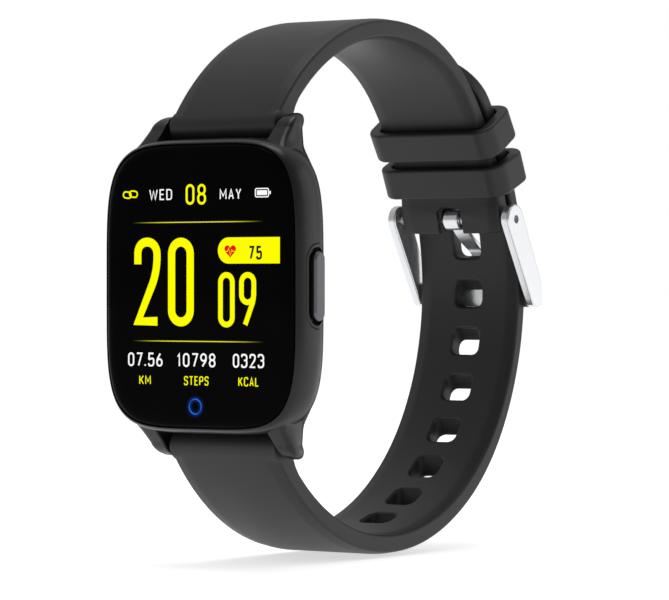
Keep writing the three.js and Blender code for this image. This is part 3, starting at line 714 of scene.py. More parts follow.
@dataclass(frozen=True)
class Finishes:
    """Every finish that the watch is dressed in."""

    silicone: bpy.types.Material = made(
        Moulded("silicone_charcoal", (0.016, 0.0162, 0.017), 0.46, 0.14, 0.005, 0.07, 0.34))
    case: bpy.types.Material = made(
        Moulded("case_satin_black", (0.0042, 0.0042, 0.0047), 0.28, 0.10, 0.0015, 0.10, 0.3))
    cover: bpy.types.Material = made(
        Moulded("cover_matt_black", (0.016, 0.016, 0.018), 0.42, 0.18, 0.006, 0.10))
    glass: bpy.types.Material = made(BlackGlass("glass_black", 0.012))
    window: bpy.types.Material = made(SensorGlass("glass_smoked", 2.8, 0.9, 1.25))
    steel: bpy.types.Material = made(
        Metal("steel_polished", (0.74, 0.75, 0.77), 0.22, (1, 1, 0.08), solid=0.85))
    button: bpy.types.Material = made(Metal("button_anodised", (0.13, 0.13, 0.14), 0.34, (1, 1, 0.05), 0.3))
    gold: bpy.types.Material = made(Metal("contact_gold", (0.83, 0.58, 0.24), 0.22))
    can: bpy.types.Material = made(Metal("sheet_tinned", (0.60, 0.61, 0.62), 0.34, (0.1, 1, 1), 0.4))
    board: bpy.types.Material = made(CircuitBoard("board_green"))
    chip: bpy.types.Material = made(Moulded("chip_epoxy", (0.014, 0.014, 0.015), 0.55, 0.08))
    cell: bpy.types.Material = made(Foil("cell_foil", (0.55, 0.56, 0.58), 0.9))
    film: bpy.types.Material = made(Foil("film_amber", (0.36, 0.13, 0.02), 0.0, 0.22, 4.0))
    panel: bpy.types.Material = made(Moulded("panel_dark", (0.008, 0.008, 0.012), 0.20, 0.09, 0.001))
    rubber: bpy.types.Material = made(Moulded("seal_black", (0.010, 0.010, 0.010), 0.65, 0.2, 0.008))
    foam: bpy.types.Material = made(Moulded("foam_tape", (0.022, 0.022, 0.022), 0.85, 0.09, 0.02))
    lamp: bpy.types.Material = made(Moulded("lamp_resin", (0.22, 0.55, 0.26), 0.15, 0.3, 0.002))


# ---- Case ----------------------------------------------------------------------------------------


@dataclass(frozen=True)
class SquareOutline:
    """The case's rounded square: a superellipse that is a little taller than it is wide."""

    half_width: float = 18.6
    taller: float = 3.7
    power: float = 4.65
    steps: int = 176
    crowding: float = 0.12

    def point(self, half_width: float, angle: float) -> Pair:
        """Returns the (X, Z) of the outline at a half-width, in the direction of an angle."""
        half_height = half_width + self.taller * min(1.0, 2 * half_width / self.half_width)
        c, s = math.cos(angle), math.sin(angle)
        reach = abs(c / half_width) ** self.power + abs(s / half_height) ** self.power
        radius = reach ** (-1 / self.power)
        return radius * c, radius * s

    def turned(self, profile: Sequence[Pair], steps: int | None = None) -> Form:
        """Spins a profile of (half-width, Y) and draws it out to the rounded square."""
        form = Form().spin(profile, steps or self.steps)
        for vert in form.bm.verts:
            half_width = math.hypot(vert.co.x, vert.co.z)
            if half_width < 1e-4:
                continue
            even = math.atan2(vert.co.z, vert.co.x)
            crowded = even + self.crowding * math.sin(4 * even)
            vert.co.x, vert.co.z = self.point(half_width, crowded)
        return form.tidy()


@dataclass
class Case:
    """The moulded case with its lugs, its glass and its flat back."""

    finishes: Finishes
    outline: SquareOutline = SquareOutline()
    glass: Extent = field(default_factory=lambda: Extent.of("cover_glass"))
    cover: Extent = field(default_factory=lambda: Extent.of("rear_cover"))
    window: Extent = field(default_factory=lambda: Extent.of("sensor_window"))
    wall_inside: float = 16.0
    fit: float = 0.12
    bar_hole: float = 0.55
    bar_hole_ends: Pair = (10.0, 12.1)
    recess: Pair = (4.6, 11.8)
    recess_floor: float = 17.3
    stem_hole: float = 0.85
    sensor_hole: float = 5.0
    cross: Pair = (0.72, 0.15)
    side_profile: tuple[Pair, ...] = (
        (2.2, 18.42), (3.0, 18.52), (4.1, 18.6), (5.2, 18.6), (6.2, 18.48), (7.2, 18.2), (8.2, 17.72),
        (9.0, 17.1), (9.7, 16.3),
    )
    flank: tuple[Pair, ...] = (
        (10.0, 18.42), (13.2, 18.2), (16.4, 17.45), (18.9, 15.95), (20.8, 14.35), (22.3, 13.72),
        (24.0, 13.45), (26.0, 13.2),
    )
    lug_inner: float = 10.5
    lug_root: float = 10.0
    lug_step: float = 0.6
    lug_front: tuple[Pair, ...] = ((10.0, 2.3), (20.3, 2.45), (22.1, 3.85), (23.6, 5.3), (25.2, 6.9))
    lug_back: tuple[Pair, ...] = ((10.0, 9.6), (20.4, 9.6), (22.4, 10.4), (23.8, 10.9), (25.2, 10.7))
    lug_rows: tuple[Pair, ...] = ((0, 0.9), (0.35, 0.7), (0.7, 0.7), (1, 0.9))
    lug_lean: float = 1.35
    lug_tip_start: float = 23.9
    lug_tip_length: float = 2.2
    lug_heart: Pair = (11.7, 8.4)
    lug_tip_slope: float = 0.65
    lug_tip_power: float = 2.2

    def build(self) -> None:
        """Builds every piece of the case."""
        self.place_frame()
        self.place_glass()
        self.place_cover()
        self.place_window()
        self.place_screws()
        self.place_contacts()

    def lug_ring(self, z: float) -> list[Vector]:
        """Returns the section of a lug at a height."""
        front, back = through(self.lug_front, z), through(self.lug_back, z)
        lean = self.lug_lean * smooth_step((z - 18) / 5)
        wide = through(self.flank, z) / self.outline.half_width
        corners = [(self.lug_inner, front, 0.3)]
        for share, cut in self.lug_rows:
            y = front + (back - front) * share
            corners.append((wide * through(self.side_profile, y - lean), y, cut))
        corners.append((self.lug_inner, back, 0.4))
        return [Vector((point.x, point.y, z)) for point in rounded(corners, 5)]

    def lug(self) -> Form:
        """Returns the upper right lug, from inside the case to its rounded tip."""
        count = int((self.lug_tip_start - self.lug_root) / self.lug_step) + 1
        rings = [self.lug_ring(self.lug_root + self.lug_step * i) for i in range(count)]
        last = self.lug_ring(self.lug_tip_start)
        heart = Vector((*self.lug_heart, self.lug_tip_start))
        power = self.lug_tip_power
        for lift in (0, 0.25, 0.45, 0.62, 0.75, 0.85, 0.92, 0.965, 0.99, 0.999):
            share = (1 - lift**power) ** (1 / power)
            shift = self.lug_tip_length * lift * Vector((0, self.lug_tip_slope, 1))
            rings.append([heart + (p - heart) * share + shift for p in last])
        return Form().loft(rings)

    def place_frame(self) -> None:
        """Builds the case with its four lugs, the recess of the button and its hollow inside."""
        rim, seat, wall = self.glass.high.x, self.cover.high.x + self.fit, self.wall_inside
        outside = self.outline.turned([
            (0, 1.5), (rim - 1, 1.5), (rim - 0.2, 0.98), (rim + 0.06, 0.9), (rim + 0.16, 0.93),
            (rim + 0.27, 1.05), (rim + 0.38, 1.22), (rim + 0.49, 1.44), (rim + 0.58, 1.7), (rim + 0.66, 2.0),
            (rim + 0.73, 2.35), (rim + 0.79, 2.75), (18.54, 3.2), (18.58, 3.7), (18.6, 4.3), (18.6, 5.2),
            (18.48, 6.2), (18.2, 7.2), (17.8, 8.0), (17.3, 8.75), (16.75, 9.35), (16.4, 9.62), (16.1, 9.7),
            (0, 9.7),
        ])
        inside = self.outline.turned([
            (0, -1), (rim + 0.12, -1), (rim + 0.06, 1.1), (rim + 0.05, 2.1), (wall, 2.1), (wall, 8.2),
            (14.0, 8.2), (14.0, 9.0), (seat, 9.0), (seat, 9.62), (seat + 0.18, 10.2), (0, 12),
        ], 132)
        lug, holes = self.lug(), Form()
        start, end = self.bar_hole_ends
        for sx, sz in ((1, 1), (-1, 1), (-1, -1), (1, -1)):
            outside.combine(Join.ADD, Form().include(lug).move(Matrix.Diagonal((sx, 1, sz, 1))))
            holes.rod(self.bar_hole, (sx * start, BAR.x, sz * BAR.y), (sx * end, BAR.x, sz * BAR.y), 24)
        outside.combine(Join.CUT, inside, self.recess_cutter(), holes)
        outside.place(Tag("case_shell", "case", "case", self.finishes.case, ("case_frame",)), 26)

    def recess_cutter(self) -> Form:
        """Returns what is cut from the case's side for the button, with a flare at the surface."""
        button = Extent.of("button_cap").middle
        place = Vector((button.y, 0))
        steps = ((self.recess_floor, -0.1), (18.3, -0.1), (18.46, -0.06), (18.56, 0.04), (18.6, 0.14),
                 (18.61, 0.24), (18.58, 0.36), (18.5, 0.42), (18.42, 0.5), (18.42, 0.56), (18.56, 0.62),
                 (18.7, 0.66), (19.5, 0.7))
        cutter = Form().loft([drawn_x([p + place for p in pill(*self.recess, grow)], x) for x, grow in steps])
        stem = Form().rod(self.stem_hole, (14, button.y, 0), (18, button.y, 0), 32)
        return cutter.combine(Join.ADD, stem)

    def place_glass(self) -> None:
        """Builds the cover glass, flat in the middle and curved all round its edge."""
        edge, back = self.glass.high.x, self.glass.high.y
        bend = [(edge - 2.5, 0.06), (edge - 2.0, 0.075), (edge - 1.5, 0.12), (edge - 1.05, 0.22),
                (edge - 0.65, 0.40), (edge - 0.32, 0.66), (edge - 0.1, 0.98), (edge - 0.02, 1.3),
                (edge - 0.02, back)]
        form = self.outline.turned([(0, 0.06), *bend, (0, back)])
        form.place(Tag("glass", "case", "glass", self.finishes.glass, ("cover_glass",)), 50)

    def place_cover(self) -> None:
        """Builds the rear cover with its seats for the window, the screws and the contacts."""
        wide, back = self.cover.high.x, self.cover.high.y
        form = self.outline.turned([
            (0, 9.9), (12.4, 9.9), (13.5, 9.32), (wide, 9.32), (wide, 9.78), (wide - 0.12, 9.98),
            (wide - 0.7, 10.42), (wide - 1.5, 10.8), (wide - 1.95, back - 0.05), (wide - 2.3, back),
            (0, back),
        ])
        window = Form().rod(self.window.high.x + self.fit, (0, 10.15, 0), (0, 12, 0), 96)
        sensor = Form().rod(self.sensor_hole, (0, 9, 0), (0, 11, 0), 64)
        screw = ((0.65, 9), (0.65, 10.2), (1.35, 10.2), (1.35, back - 0.18), (1.6, back + 0.02), (1.6, 12))
        contact = ((1.06, 9), (1.06, back - 0.12), (1.22, back + 0.02), (1.22, 12))
        seats = {f"case_screw_{number}": screw for number in range(1, 5)}
        seats |= {f"charge_contact_{side}": contact for side in ("left", "right")}
        holes = Form()
        for node, seat in seats.items():
            middle = Extent.of(node).middle
            holes.loft([drawn_y(disc(radius), y, middle.x, middle.z) for radius, y in seat])
        form.combine(Join.CUT, window, sensor, holes)
        form.place(Tag("back_cover", "case", "case", self.finishes.cover, ("rear_cover",)), 26)

    def place_window(self) -> None:
        """Builds the round window of the pulse sensor, slightly domed at its rim."""
        radius, front, back = self.window.high.x, self.window.low.y, self.window.high.y
        profile = [(0, front), (radius, front), (radius, back - 0.22), (radius - 0.1, back - 0.07),
                   (radius - 0.32, back), (0, back)]
        form = Form().spin(profile, 96)
        form.place(Tag("window", "case", "glass", self.finishes.window, ("sensor_window",)), 50)

    def place_screws(self) -> None:
        """Builds the four screws that hold the cover, each with a cross recess."""
        for number in range(1, 5):
            node = f"case_screw_{number}"
            extent = Extent.of(node)
            x, z, front, back = extent.middle.x, extent.middle.z, extent.low.y, extent.high.y
            profile = [(0, front), (0.35, front), (0.5, front + 0.2), (0.5, back - 0.59), (1.2, back - 0.59),
                       (1.2, back - 0.14), (1.14, back - 0.05), (1.0, back), (0, back)]
            form = Form().spin(profile, 40).move(Matrix.Translation((x, 0, z)))
            slots = []
            for half in (self.cross, self.cross[::-1]):
                outline = drawn_y(box_outline(*half, 0.06, 2), back - 0.3, x, z)
                slots.append(Form().prism(outline, Vector((0, 1, 0))))
            form.combine(Join.CUT, slots[0].combine(Join.ADD, slots[1]))
            form.place(Tag(f"cover_screw_{number}", "case", "steel", self.finishes.steel, (node,)), 30)

    def place_contacts(self) -> None:
        """Builds the two charging contacts, each a turned pin with a flange inside."""
        for side in ("left", "right"):
            node = f"charge_contact_{side}"
            extent = Extent.of(node)
            front, back = extent.low.y, extent.high.y
            profile = [(0, front), (1.5, front), (1.5, front + 0.4), (1.0, front + 0.4), (1.0, back - 0.16),
                       (0.95, back - 0.05), (0.84, back), (0, back)]
            form = Form().spin(profile, 40).move(Matrix.Translation((extent.middle.x, 0, extent.middle.z)))
            form.place(Tag(f"contact_{side}", "case", "gold_contact", self.finishes.gold, (node,)), 40)


@dataclass
class Button:
    """The pill-shaped side button on its stem."""

    finishes: Finishes
    cap: Extent = field(default_factory=lambda: Extent.of("button_cap"))
    clip: Extent = field(default_factory=lambda: Extent.of("button_clip"))
    underside: float = 17.95
    stem_radius: float = 0.7
    groove_radius: float = 0.45
    groove_margin: float = 0.08

    def build(self) -> None:
        """Builds the cap with its rounded rim, and the stem with the groove of its clip."""
        y, face = self.cap.middle.y, self.cap.high.x
        size = self.cap.size.y, self.cap.size.z
        steps = ((self.underside, 0.0), (face - 0.42, 0.0), (face - 0.26, -0.04), (face - 0.12, -0.14),
                 (face - 0.04, -0.28), (face, -0.46))
        place = Vector((y, 0))
        cap = Form().loft([drawn_x([p + place for p in pill(*size, grow, 10)], x) for x, grow in steps])
        start, end = self.clip.low.x - self.groove_margin, self.clip.high.x + self.groove_margin
        tip, full, thin = self.cap.low.x, self.stem_radius, self.groove_radius
        radii = ((tip, full - 0.1), (tip + 0.1, full), (start, full), (start, thin), (end, thin), (end, full),
                 (self.underside + 0.5, full))
        stem = Form().loft([drawn_x([p + place for p in disc(radius, 7)], x) for x, radius in radii])
        cap.combine(Join.ADD, stem)
        cap.place(Tag("side_button", "button", "button", self.finishes.button, ("button_cap",)), 30)


# ---- Strap ---------------------------------------------------------------------------------------


@dataclass(frozen=True)
class Arc:
    """One arc of a band's middle line, in (Y, Z), between two angles of its outward normal."""

    start: float
    end: float
    centre: Vector
    radius: float


def outward(angle: float) -> Vector:
    """Returns the direction in (Y, Z) of an angle in degrees above +Y."""
    return Vector((math.cos(math.radians(angle)), math.sin(math.radians(angle))))


class BandLine:
    """A chain of arcs that stay tangent, which a band follows from the lug to its end."""

    def __init__(self, start: float, centre: Pair, radius: float, turns: Sequence[Pair], end: float) -> None:
        """Lays the arcs.

        Args:
            start: the angle at the lug.
            centre: the first arc's centre.
            radius: its radius.
            turns: (angle, new radius) for each change of arc.
            end: the angle at the band's end.
        """
        self.arcs: list[Arc] = []
        middle = Vector(centre)
        for angle, new_radius in [*turns, (end, radius)]:
            self.arcs.append(Arc(start, angle, middle, radius))
            middle = middle + outward(angle) * (radius - new_radius)
            start, radius = angle, new_radius

    def at(self, angle: float, offset: float = 0.0) -> Vector:
        """Returns the (Y, Z) at an angle, that far outside the line."""
        inside = [arc for arc in self.arcs if min(arc.start, arc.end) <= angle <= max(arc.start, arc.end)]
        arc = inside[0] if inside else self.arcs[-1]
        return arc.centre + outward(angle) * (arc.radius + offset)

    def angles(self, step: float, stop: float) -> list[float]:
        """Returns angles along the line, about a step in millimetres apart, as far as one that is given."""
        found = []
        for arc in self.arcs:
            end = stop if min(arc.start, arc.end) <= stop <= max(arc.start, arc.end) else arc.end
            count = math.ceil(math.radians(abs(end - arc.start)) * arc.radius / step)
            found += [arc.start + (end - arc.start) * i / count for i in range(count)]
            if end == stop:
                break
        return [*found, stop]

    def walk(self, angle: float, distance: float) -> float:
        """Returns the angle that lies a distance further on, towards higher angles."""
        step = math.copysign(0.05, distance)
        left = abs(distance)
        while left > 0:
            left -= (self.at(angle + step) - self.at(angle)).length
            angle += step
        return angle


# The first arc of both halves, from the lug. The lower half mirrors it.
LOOP_CENTRE = Vector((38.55, 3.25))
LOOP_RADIUS = 37.26
LUG_ANGLE = math.degrees(math.atan2(BAR.y - LOOP_CENTRE.y, BAR.x - LOOP_CENTRE.x))

# The last arc, where the long half lies on the short one, a layer's step further out.
END_RADIUS = 53.6
LAYER_STEP = 3.28
SHORT_LINE = BandLine(LUG_ANGLE, LOOP_CENTRE, LOOP_RADIUS, [(76, 26.165), (40, END_RADIUS)], 13.8)
LONG_LINE = BandLine(-LUG_ANGLE, (LOOP_CENTRE.x, -LOOP_CENTRE.y), LOOP_RADIUS,
                     [(-31, 43.2), (14.5, END_RADIUS + LAYER_STEP)], 46)
END_CENTRE = SHORT_LINE.arcs[-1].centre
FIXED_KEEPER_ANGLE = 23.8
FREE_KEEPER_ANGLE = 31.4

# The buckle's pin, a little inside the short half's middle line.
PIN_ANGLE = 16.0
PIN_DROP = 0.5
PIN = SHORT_LINE.at(PIN_ANGLE, -PIN_DROP)


@dataclass
class Strap:
    """One half of the strap: a moulded band with sloped edges."""

    finishes: Finishes
    half_thickness: float = 1.4
    half_thickness_lug: float = 1.65
    thickening: Pair = (45, 72)
    barrel_radius: float = 2.4
    bore_radius: float = 1.0
    slope: float = 2.0
    slope_drop: float = 0.35
    edge_cut: float = 0.42
    ridge_cut: float = 0.5
    lug_swell: float = 1.6
    lug_swell_length: float = 6.0
    rim: float = 0.5
    half_width_lug: float = 10.0
    half_width_back: float = 9.65
    taper_end: float = 60.0
    step: float = 1.5

    def half_width(self, angle: float) -> float:
        """Returns half the width at an angle, from the lug's to the back's."""
        share = min(1.0, max(0.0, (abs(angle) - self.taper_end) / (LUG_ANGLE - self.taper_end)))
        return self.half_width_back + (self.half_width_lug - self.half_width_back) * share

    def half_thick(self, angle: float) -> float:
        """Returns half the thickness at an angle: the band is thicker towards the lug."""
        thin, thick = self.thickening
        share = min(1.0, max(0.0, (angle - thin) / (thick - thin)))
        return self.half_thickness + (self.half_thickness_lug - self.half_thickness) * share

    def swell(self, line: BandLine, angle: float) -> float:
        """Returns how much thicker the band is on its inner side, where it meets the barrel at the lug."""
        away = (line.at(angle) - line.at(line.arcs[0].start)).length
        most = self.lug_swell * (self.barrel_radius - self.half_thickness_lug)
        return most * (1 - smooth_step(away / self.lug_swell_length))

    def ring(self, line: BandLine, angle: float, half: float, share: float = 1.0) -> list[Vector]:
        """Returns the band's section at an angle.

        Args:
            line: the band's middle line.
            angle: where the section is.
            half: half its width.
            share: the share of its thickness that it has there.

        Returns:
            The points of the section.
        """
        shoulder = max(half - self.slope, half / 2)
        thick = self.half_thick(angle) * share
        inner = thick + self.swell(line, angle)
        side = thick - self.slope_drop * share
        under = inner - self.slope_drop * share
        cut = min(self.edge_cut, side * 0.6)
        ridge = self.ridge_cut
        corners = [(half, -under, cut), (half, side, cut), (shoulder, thick, ridge),
                   (-shoulder, thick, ridge), (-half, side, cut), (-half, -under, cut),
                   (-shoulder, -inner, ridge), (shoulder, -inner, ridge)]
        out, middle = outward(angle), line.at(angle)
        return [Vector((p.x, middle.x + out.x * p.y, middle.y + out.y * p.y)) for p in rounded(corners, 4)]

    def barrel(self, place: Vector, half: float) -> Form:
        """Returns the rounded barrel round a bar."""
        form = Form().rod(self.barrel_radius, (-half, *place), (half, *place), 72)
        return form.bevel(0.3, 3)

    def bore(self, place: Vector) -> Form:
        """Returns what is cut for a bar, right through the band."""
        return Form().loft([drawn_x([p + place for p in disc(self.bore_radius)], x) for x in (-12, 12)])

    def cutter(self, line: BandLine, angle: float, half_u: float, half_v: float, corner: float,
               shift: float = 0.0, draft: float = 0.0) -> Form:
        """Returns a rounded square hole through the band, with softened rims.

        Args:
            line: the band's middle line.
            angle: the direction of the hole.
            half_u: half its size along X.
            half_v: half its size along the band.
            corner: the radius of its corners.
            shift: how far along the band it is moved.
            draft: how much lower its upper side lies on the outside of the band than on the inside.

        Returns:
            The cutter.
        """
        out = outward(angle)
        along = Vector((-out.y, out.x))
        middle = line.at(angle) + along * shift
        half = self.half_thick(angle)
        rim = self.rim
        outer = [(half - rim, 0), (half - 0.3, 0.03), (half - 0.12, 0.13), (half, 0.3), (half + 0.12, rim),
                 (4, rim)]
        flare = [(-rise, grow) for rise, grow in reversed(outer)] + outer
        rings = []
        for rise, grow in flare:
            lower = draft / 2 * min(1.0, max(0.0, (rise + half - rim) / (2 * (half - rim))))
            base = middle + out * rise - along * lower
            points = box_outline(half_u + grow, half_v + grow - lower, corner + grow, 6)
            rings.append([Vector((p.x, *(base + along * p.y))) for p in points])
        return Form().loft(rings)


@dataclass
class ShortStrap(Strap):
    """The twelve o'clock half, which carries the buckle and the fixed keeper."""

    notch_half_width: float = 1.9
    end_swell: float = 0.85
    end_swell_angles: Pair = (20.9, 17.6)
    corner_start: float = 16.0
    corner_length: float = 1.5
    corner_inset: float = 1.1
    end_round: float = 0.42
    end_thinning: float = 0.28

    def swell(self, line: BandLine, angle: float) -> float:
        """Returns how much thicker the band is inside, at the lug and round the pin of the buckle."""
        start, full = self.end_swell_angles
        return super().swell(line, angle) + self.end_swell * smooth_step((angle - start) / (full - start))

    def build(self) -> None:
        """Builds the band, its barrel, the bores of both pins and the notch for the tongue."""
        line = SHORT_LINE
        end = line.arcs[-1].end
        rings = []
        near_end = [15.3, 14.8, 14.45, 14.25, 14.1, 13.98, 13.88, end]
        for angle in line.angles(self.step, self.corner_start) + near_end:
            away = math.radians(angle - end) * END_RADIUS
            corner = 1 - min(1.0, away / self.corner_length)
            half = self.half_width(angle) - self.corner_inset * (1 - math.sqrt(max(0.0, 1 - corner * corner)))
            edge = 1 - min(1.0, away / self.end_round)
            share = 1 - self.end_thinning * (1 - math.sqrt(max(0.0, 1 - edge * edge)))
            rings.append(self.ring(line, angle, half, share))
        band = Form().loft(rings)
        band.combine(Join.ADD, self.barrel(BAR, self.half_width_lug))
        notch = self.cutter(line, PIN_ANGLE, self.notch_half_width, 4.0, 0.8, -1.9)
        band.combine(Join.CUT, self.bore(BAR), self.bore(PIN), notch)
        tag = Tag("strap_upper", "short_strap", "silicone", self.finishes.silicone, ("strap_short",))
        band.place(tag, 30)


@dataclass
class LongStrap(Strap):
    """The six o'clock half, with its row of holes and its rounded tip.

    The tongue draws the hole that it goes through: that hole has its own half length, and is moved along
    the band.
    """

    hole: Pair = (2.6, 2.2)
    hole_corner: float = 1.2
    hole_pitch: float = 8.3
    hole_draft: float = 1.5
    drawn_hole: Pair = (2.45, 0.32)
    thickening: Pair = (-20, -50)
    tongue_angle: float = 9.63
    holes_before: int = 7
    holes_after: int = 2
    tip_start: float = 36.5

    def build(self) -> None:
        """Builds the band, its barrel and its holes."""
        line = LONG_LINE
        tip = line.arcs[-1].end
        rings = []
        length = tip - self.tip_start
        near_tip = [self.tip_start + length * math.sin(math.radians(turn)) for turn in range(8, 90, 7)]
        for angle in line.angles(self.step, self.tip_start) + near_tip:
            share = min(0.9975, max(0.0, (angle - self.tip_start) / length))
            bow = math.sqrt(1 - share * share)
            thick = 0.4 + 0.6 * min(1.0, bow * 3) ** 0.5
            rings.append(self.ring(line, angle, self.half_width(angle) * bow, thick))
        band = Form().loft(rings)
        bar = Vector((BAR.x, -BAR.y))
        band.combine(Join.ADD, self.barrel(bar, self.half_width_lug))
        holes = Form()
        for i in range(-self.holes_before, self.holes_after + 1):
            angle = line.walk(self.tongue_angle, i * self.hole_pitch) if i else self.tongue_angle
            half, shift, draft = (self.hole[1], 0.0, self.hole_draft) if i else (*self.drawn_hole, 0.0)
            holes.include(self.cutter(line, angle, self.hole[0], half, self.hole_corner, shift, draft))
        band.combine(Join.CUT, self.bore(bar), holes)
        band.place(Tag("strap_lower", "long_strap", "silicone", self.finishes.silicone, ("strap_long",)), 30)


@dataclass
class Keeper:
    """A rubber loop round both halves of the strap."""

    finishes: Finishes
    name: str
    body: str
    node: str
    angle: float
    half_width: float = 12.1
    inner: float = 50.3
    outer: float = 60.2
    corner: float = 3.0
    opening_half: float = 10.0
    opening_corner: float = 1.1
    opening: Pair = (51.85, 58.62)
    length: float = 5.15
    round_over: float = 0.45

    def build(self) -> None:
        """Builds the loop with softened edges."""
        middle = (self.inner + self.outer) / 2
        low, high = self.opening
        shell = box_outline(self.half_width, (self.outer - self.inner) / 2, self.corner, 10)
        shift = Vector((0, (low + high) / 2 - middle))
        gap = [p + shift for p in box_outline(self.opening_half, (high - low) / 2, self.opening_corner, 10)]
        straight, radius = self.length / 2 - self.round_over, self.round_over
        turns = [math.radians(turn) for turn in (0, 22.5, 45, 67.5, 90)]
        steps = [(radius * (1 - math.cos(turn)), straight + radius * math.sin(turn)) for turn in turns]
        out = outward(self.angle)
        along = Vector((-out.y, out.x))
        place = END_CENTRE + out * middle

        def ring(points: list[Vector], inset: float, run: float, sign: float) -> list[Vector]:
            """Returns one outline of the loop, drawn in or out by an inset and moved along the strap."""
            drawn = []
            for i, point in enumerate(points):
                tangent = (points[(i + 1) % len(points)] - points[i - 1]).normalized()
                inward = Vector((-tangent.y, tangent.x)) * sign * inset
                u, v = point + inward
                drawn.append(Vector((u, *(place + out * v + along * run))))
            return drawn

        back = [(inset, -run) for inset, run in steps]
        outside = [ring(shell, inset, run, 1) for inset, run in [*reversed(back), *steps]]
        inside = [ring(gap, inset, run, -1) for inset, run in [*reversed(steps), *back]]
        form = Form().loft(outside + inside, closed=True)
        form.place(Tag(self.name, self.body, "silicone", self.finishes.silicone, (self.node,)), 50)


# ---- Buckle --------------------------------------------------------------------------------------


@dataclass
class Buckle:
    """The polished buckle: its frame, its pin and its tongue."""

    finishes: Finishes
    arm: Pair = (10.4, 12.0)
    arm_end_radius: float = 2.45
    arm_hole: float = 0.7
    arm_outline: tuple[Pair, ...] = (
        (76.35, -2.4), (76.85, -3.15), (77.75, -3.6), (78.65, -3.6), (79.2, -3.1), (79.3, 0.3), (78.65, 1.9),
        (77.25, 4.6), (75.45, 8.0),
    )
    edge: float = 0.34
    bar_half: float = 11.2
    bar_outer: tuple[Pair, ...] = (
        (0, 79.75), (4.5, 79.75), (7.5, 79.7), (9.2, 79.6), (10.6, 79.35), (11.2, 79.1),
    )
    bar_inner: tuple[Pair, ...] = (
        (0, 78.33), (4.5, 78.33), (7.5, 78.32), (9.2, 78.3), (10.2, 78.05), (11.2, 77.75),
    )
    bar_heights: Pair = (-3.6, 0.6)
    tongue_path: tuple[Pair, ...] = (
        (74.55, 8.15), (76.55, 6.9), (78.15, 5.9), (79.45, 4.3), (80.1, 2.4), (80.35, 0.6), (80.35, -1.9),
    )
    tongue_half: float = 1.4
    tongue_thickness: float = 0.9
    tongue_barrel: float = 1.7
    tongue_bore: float = 1.0
    pin_depth: float = 0.8

    def build(self) -> None:
        """Builds the three pieces."""
        self.place_frame()
        self.place_pin()
        self.place_tongue()

    def arm_form(self, side: float) -> Form:
        """Returns one arm, a plate with a rounded end and softened edges."""
        end = [PIN + outward(angle) * self.arm_end_radius for angle in range(20, 201, 9)]
        outline = [(p.x, p.y, 0.0) for p in end] + [(y, z, 0.35) for y, z in self.arm_outline]
        inner, outer = (side * x for x in self.arm)
        ring = drawn_x(rounded(outline, 4), inner)
        return Form().prism(ring, Vector((outer - inner, 0, 0))).bevel(self.edge, 4)

    def crossbar(self) -> Form:
        """Returns the bowed bar between the arms."""
        low, high = self.bar_heights
        rings = []
        for i in range(-24, 25):
            x = self.bar_half * i / 24
            front, back = through(self.bar_inner, abs(x)), through(self.bar_outer, abs(x))
            section = box_outline((back - front) / 2, (high - low) / 2, self.edge, 4)
            middle = Vector(((front + back) / 2, (low + high) / 2))
            rings.append(drawn_x([p + middle for p in section], x))
        return Form().loft(rings)

    def place_frame(self) -> None:
        """Builds the frame of the buckle."""
        form = self.crossbar()
        form.combine(Join.ADD, self.arm_form(1), self.arm_form(-1))
        hole = Form().rod(self.arm_hole, (-14, *PIN), (14, *PIN), 32)
        form.combine(Join.CUT, hole)
        form.place(Tag("buckle_loop", "buckle", "steel", self.finishes.steel, ("buckle_frame",)), 28)

    def place_pin(self) -> None:
        """Builds the pin, thinner where it goes through the arms."""
        reach = Extent.of("buckle_pin").high.x
        half = ((9.0, 0.85), (9.1, 0.55), (reach - self.pin_depth, 0.55), (reach - self.pin_depth, 0.3))
        steps = [(-x, radius) for x, radius in reversed(half)] + list(half)
        rings = [drawn_x([p + PIN for p in disc(radius, 6)], x) for x, radius in steps]
        form = Form().loft(rings)
        form.place(Tag("pin", "short_strap", "steel", self.finishes.steel, ("buckle_pin",)), 40)

    def place_tongue(self) -> None:
        """Builds the tongue: a barrel on the pin and a bent flat strip with a rounded tip."""
        path = curve([(PIN.x + 1.0, PIN.y - 0.9), *self.tongue_path], 5)
        rings = []
        for i, point in enumerate(path):
            tangent = (path[min(i + 1, len(path) - 1)] - path[max(i - 1, 0)]).normalized()
            normal = Vector((-tangent.y, tangent.x))
            left = sum((path[j + 1] - path[j]).length for j in range(i, len(path) - 1))
            tip = math.sqrt(max(0.0, 1 - (1 - min(1.0, left / 0.9)) ** 2))
            half = self.tongue_half * (0.6 + 0.4 * tip)
            thick = self.tongue_thickness / 2 * (0.4 + 0.6 * tip)
            section = box_outline(half, thick, 0.26 * (0.4 + 0.6 * tip), 4)
            rings.append([Vector((p.x, *(point + normal * p.y))) for p in section])
        form = Form().loft(rings)
        barrel = Form().rod(self.tongue_barrel, (-self.tongue_half, *PIN), (self.tongue_half, *PIN), 64)
        form.combine(Join.ADD, barrel.bevel(0.2, 3))
        form.combine(Join.CUT, Form().rod(self.tongue_bore, (-3, *PIN), (3, *PIN), 32))
        form.place(Tag("tongue_hook", "tongue", "steel", self.finishes.steel, ("buckle_tongue",)), 30)


# ---- Dial ----------------------------------------------------------------------------------------


@dataclass(frozen=True)
class Stroke:
    """One stroke of a sign, drawn on a unit square.

    A corner is rounded by the stroke's share of half the width, or by its own share where it gives a third
    number.
    """

    points: tuple[tuple[float, ...], ...]
    round: float = 0.0
    closed: bool = False


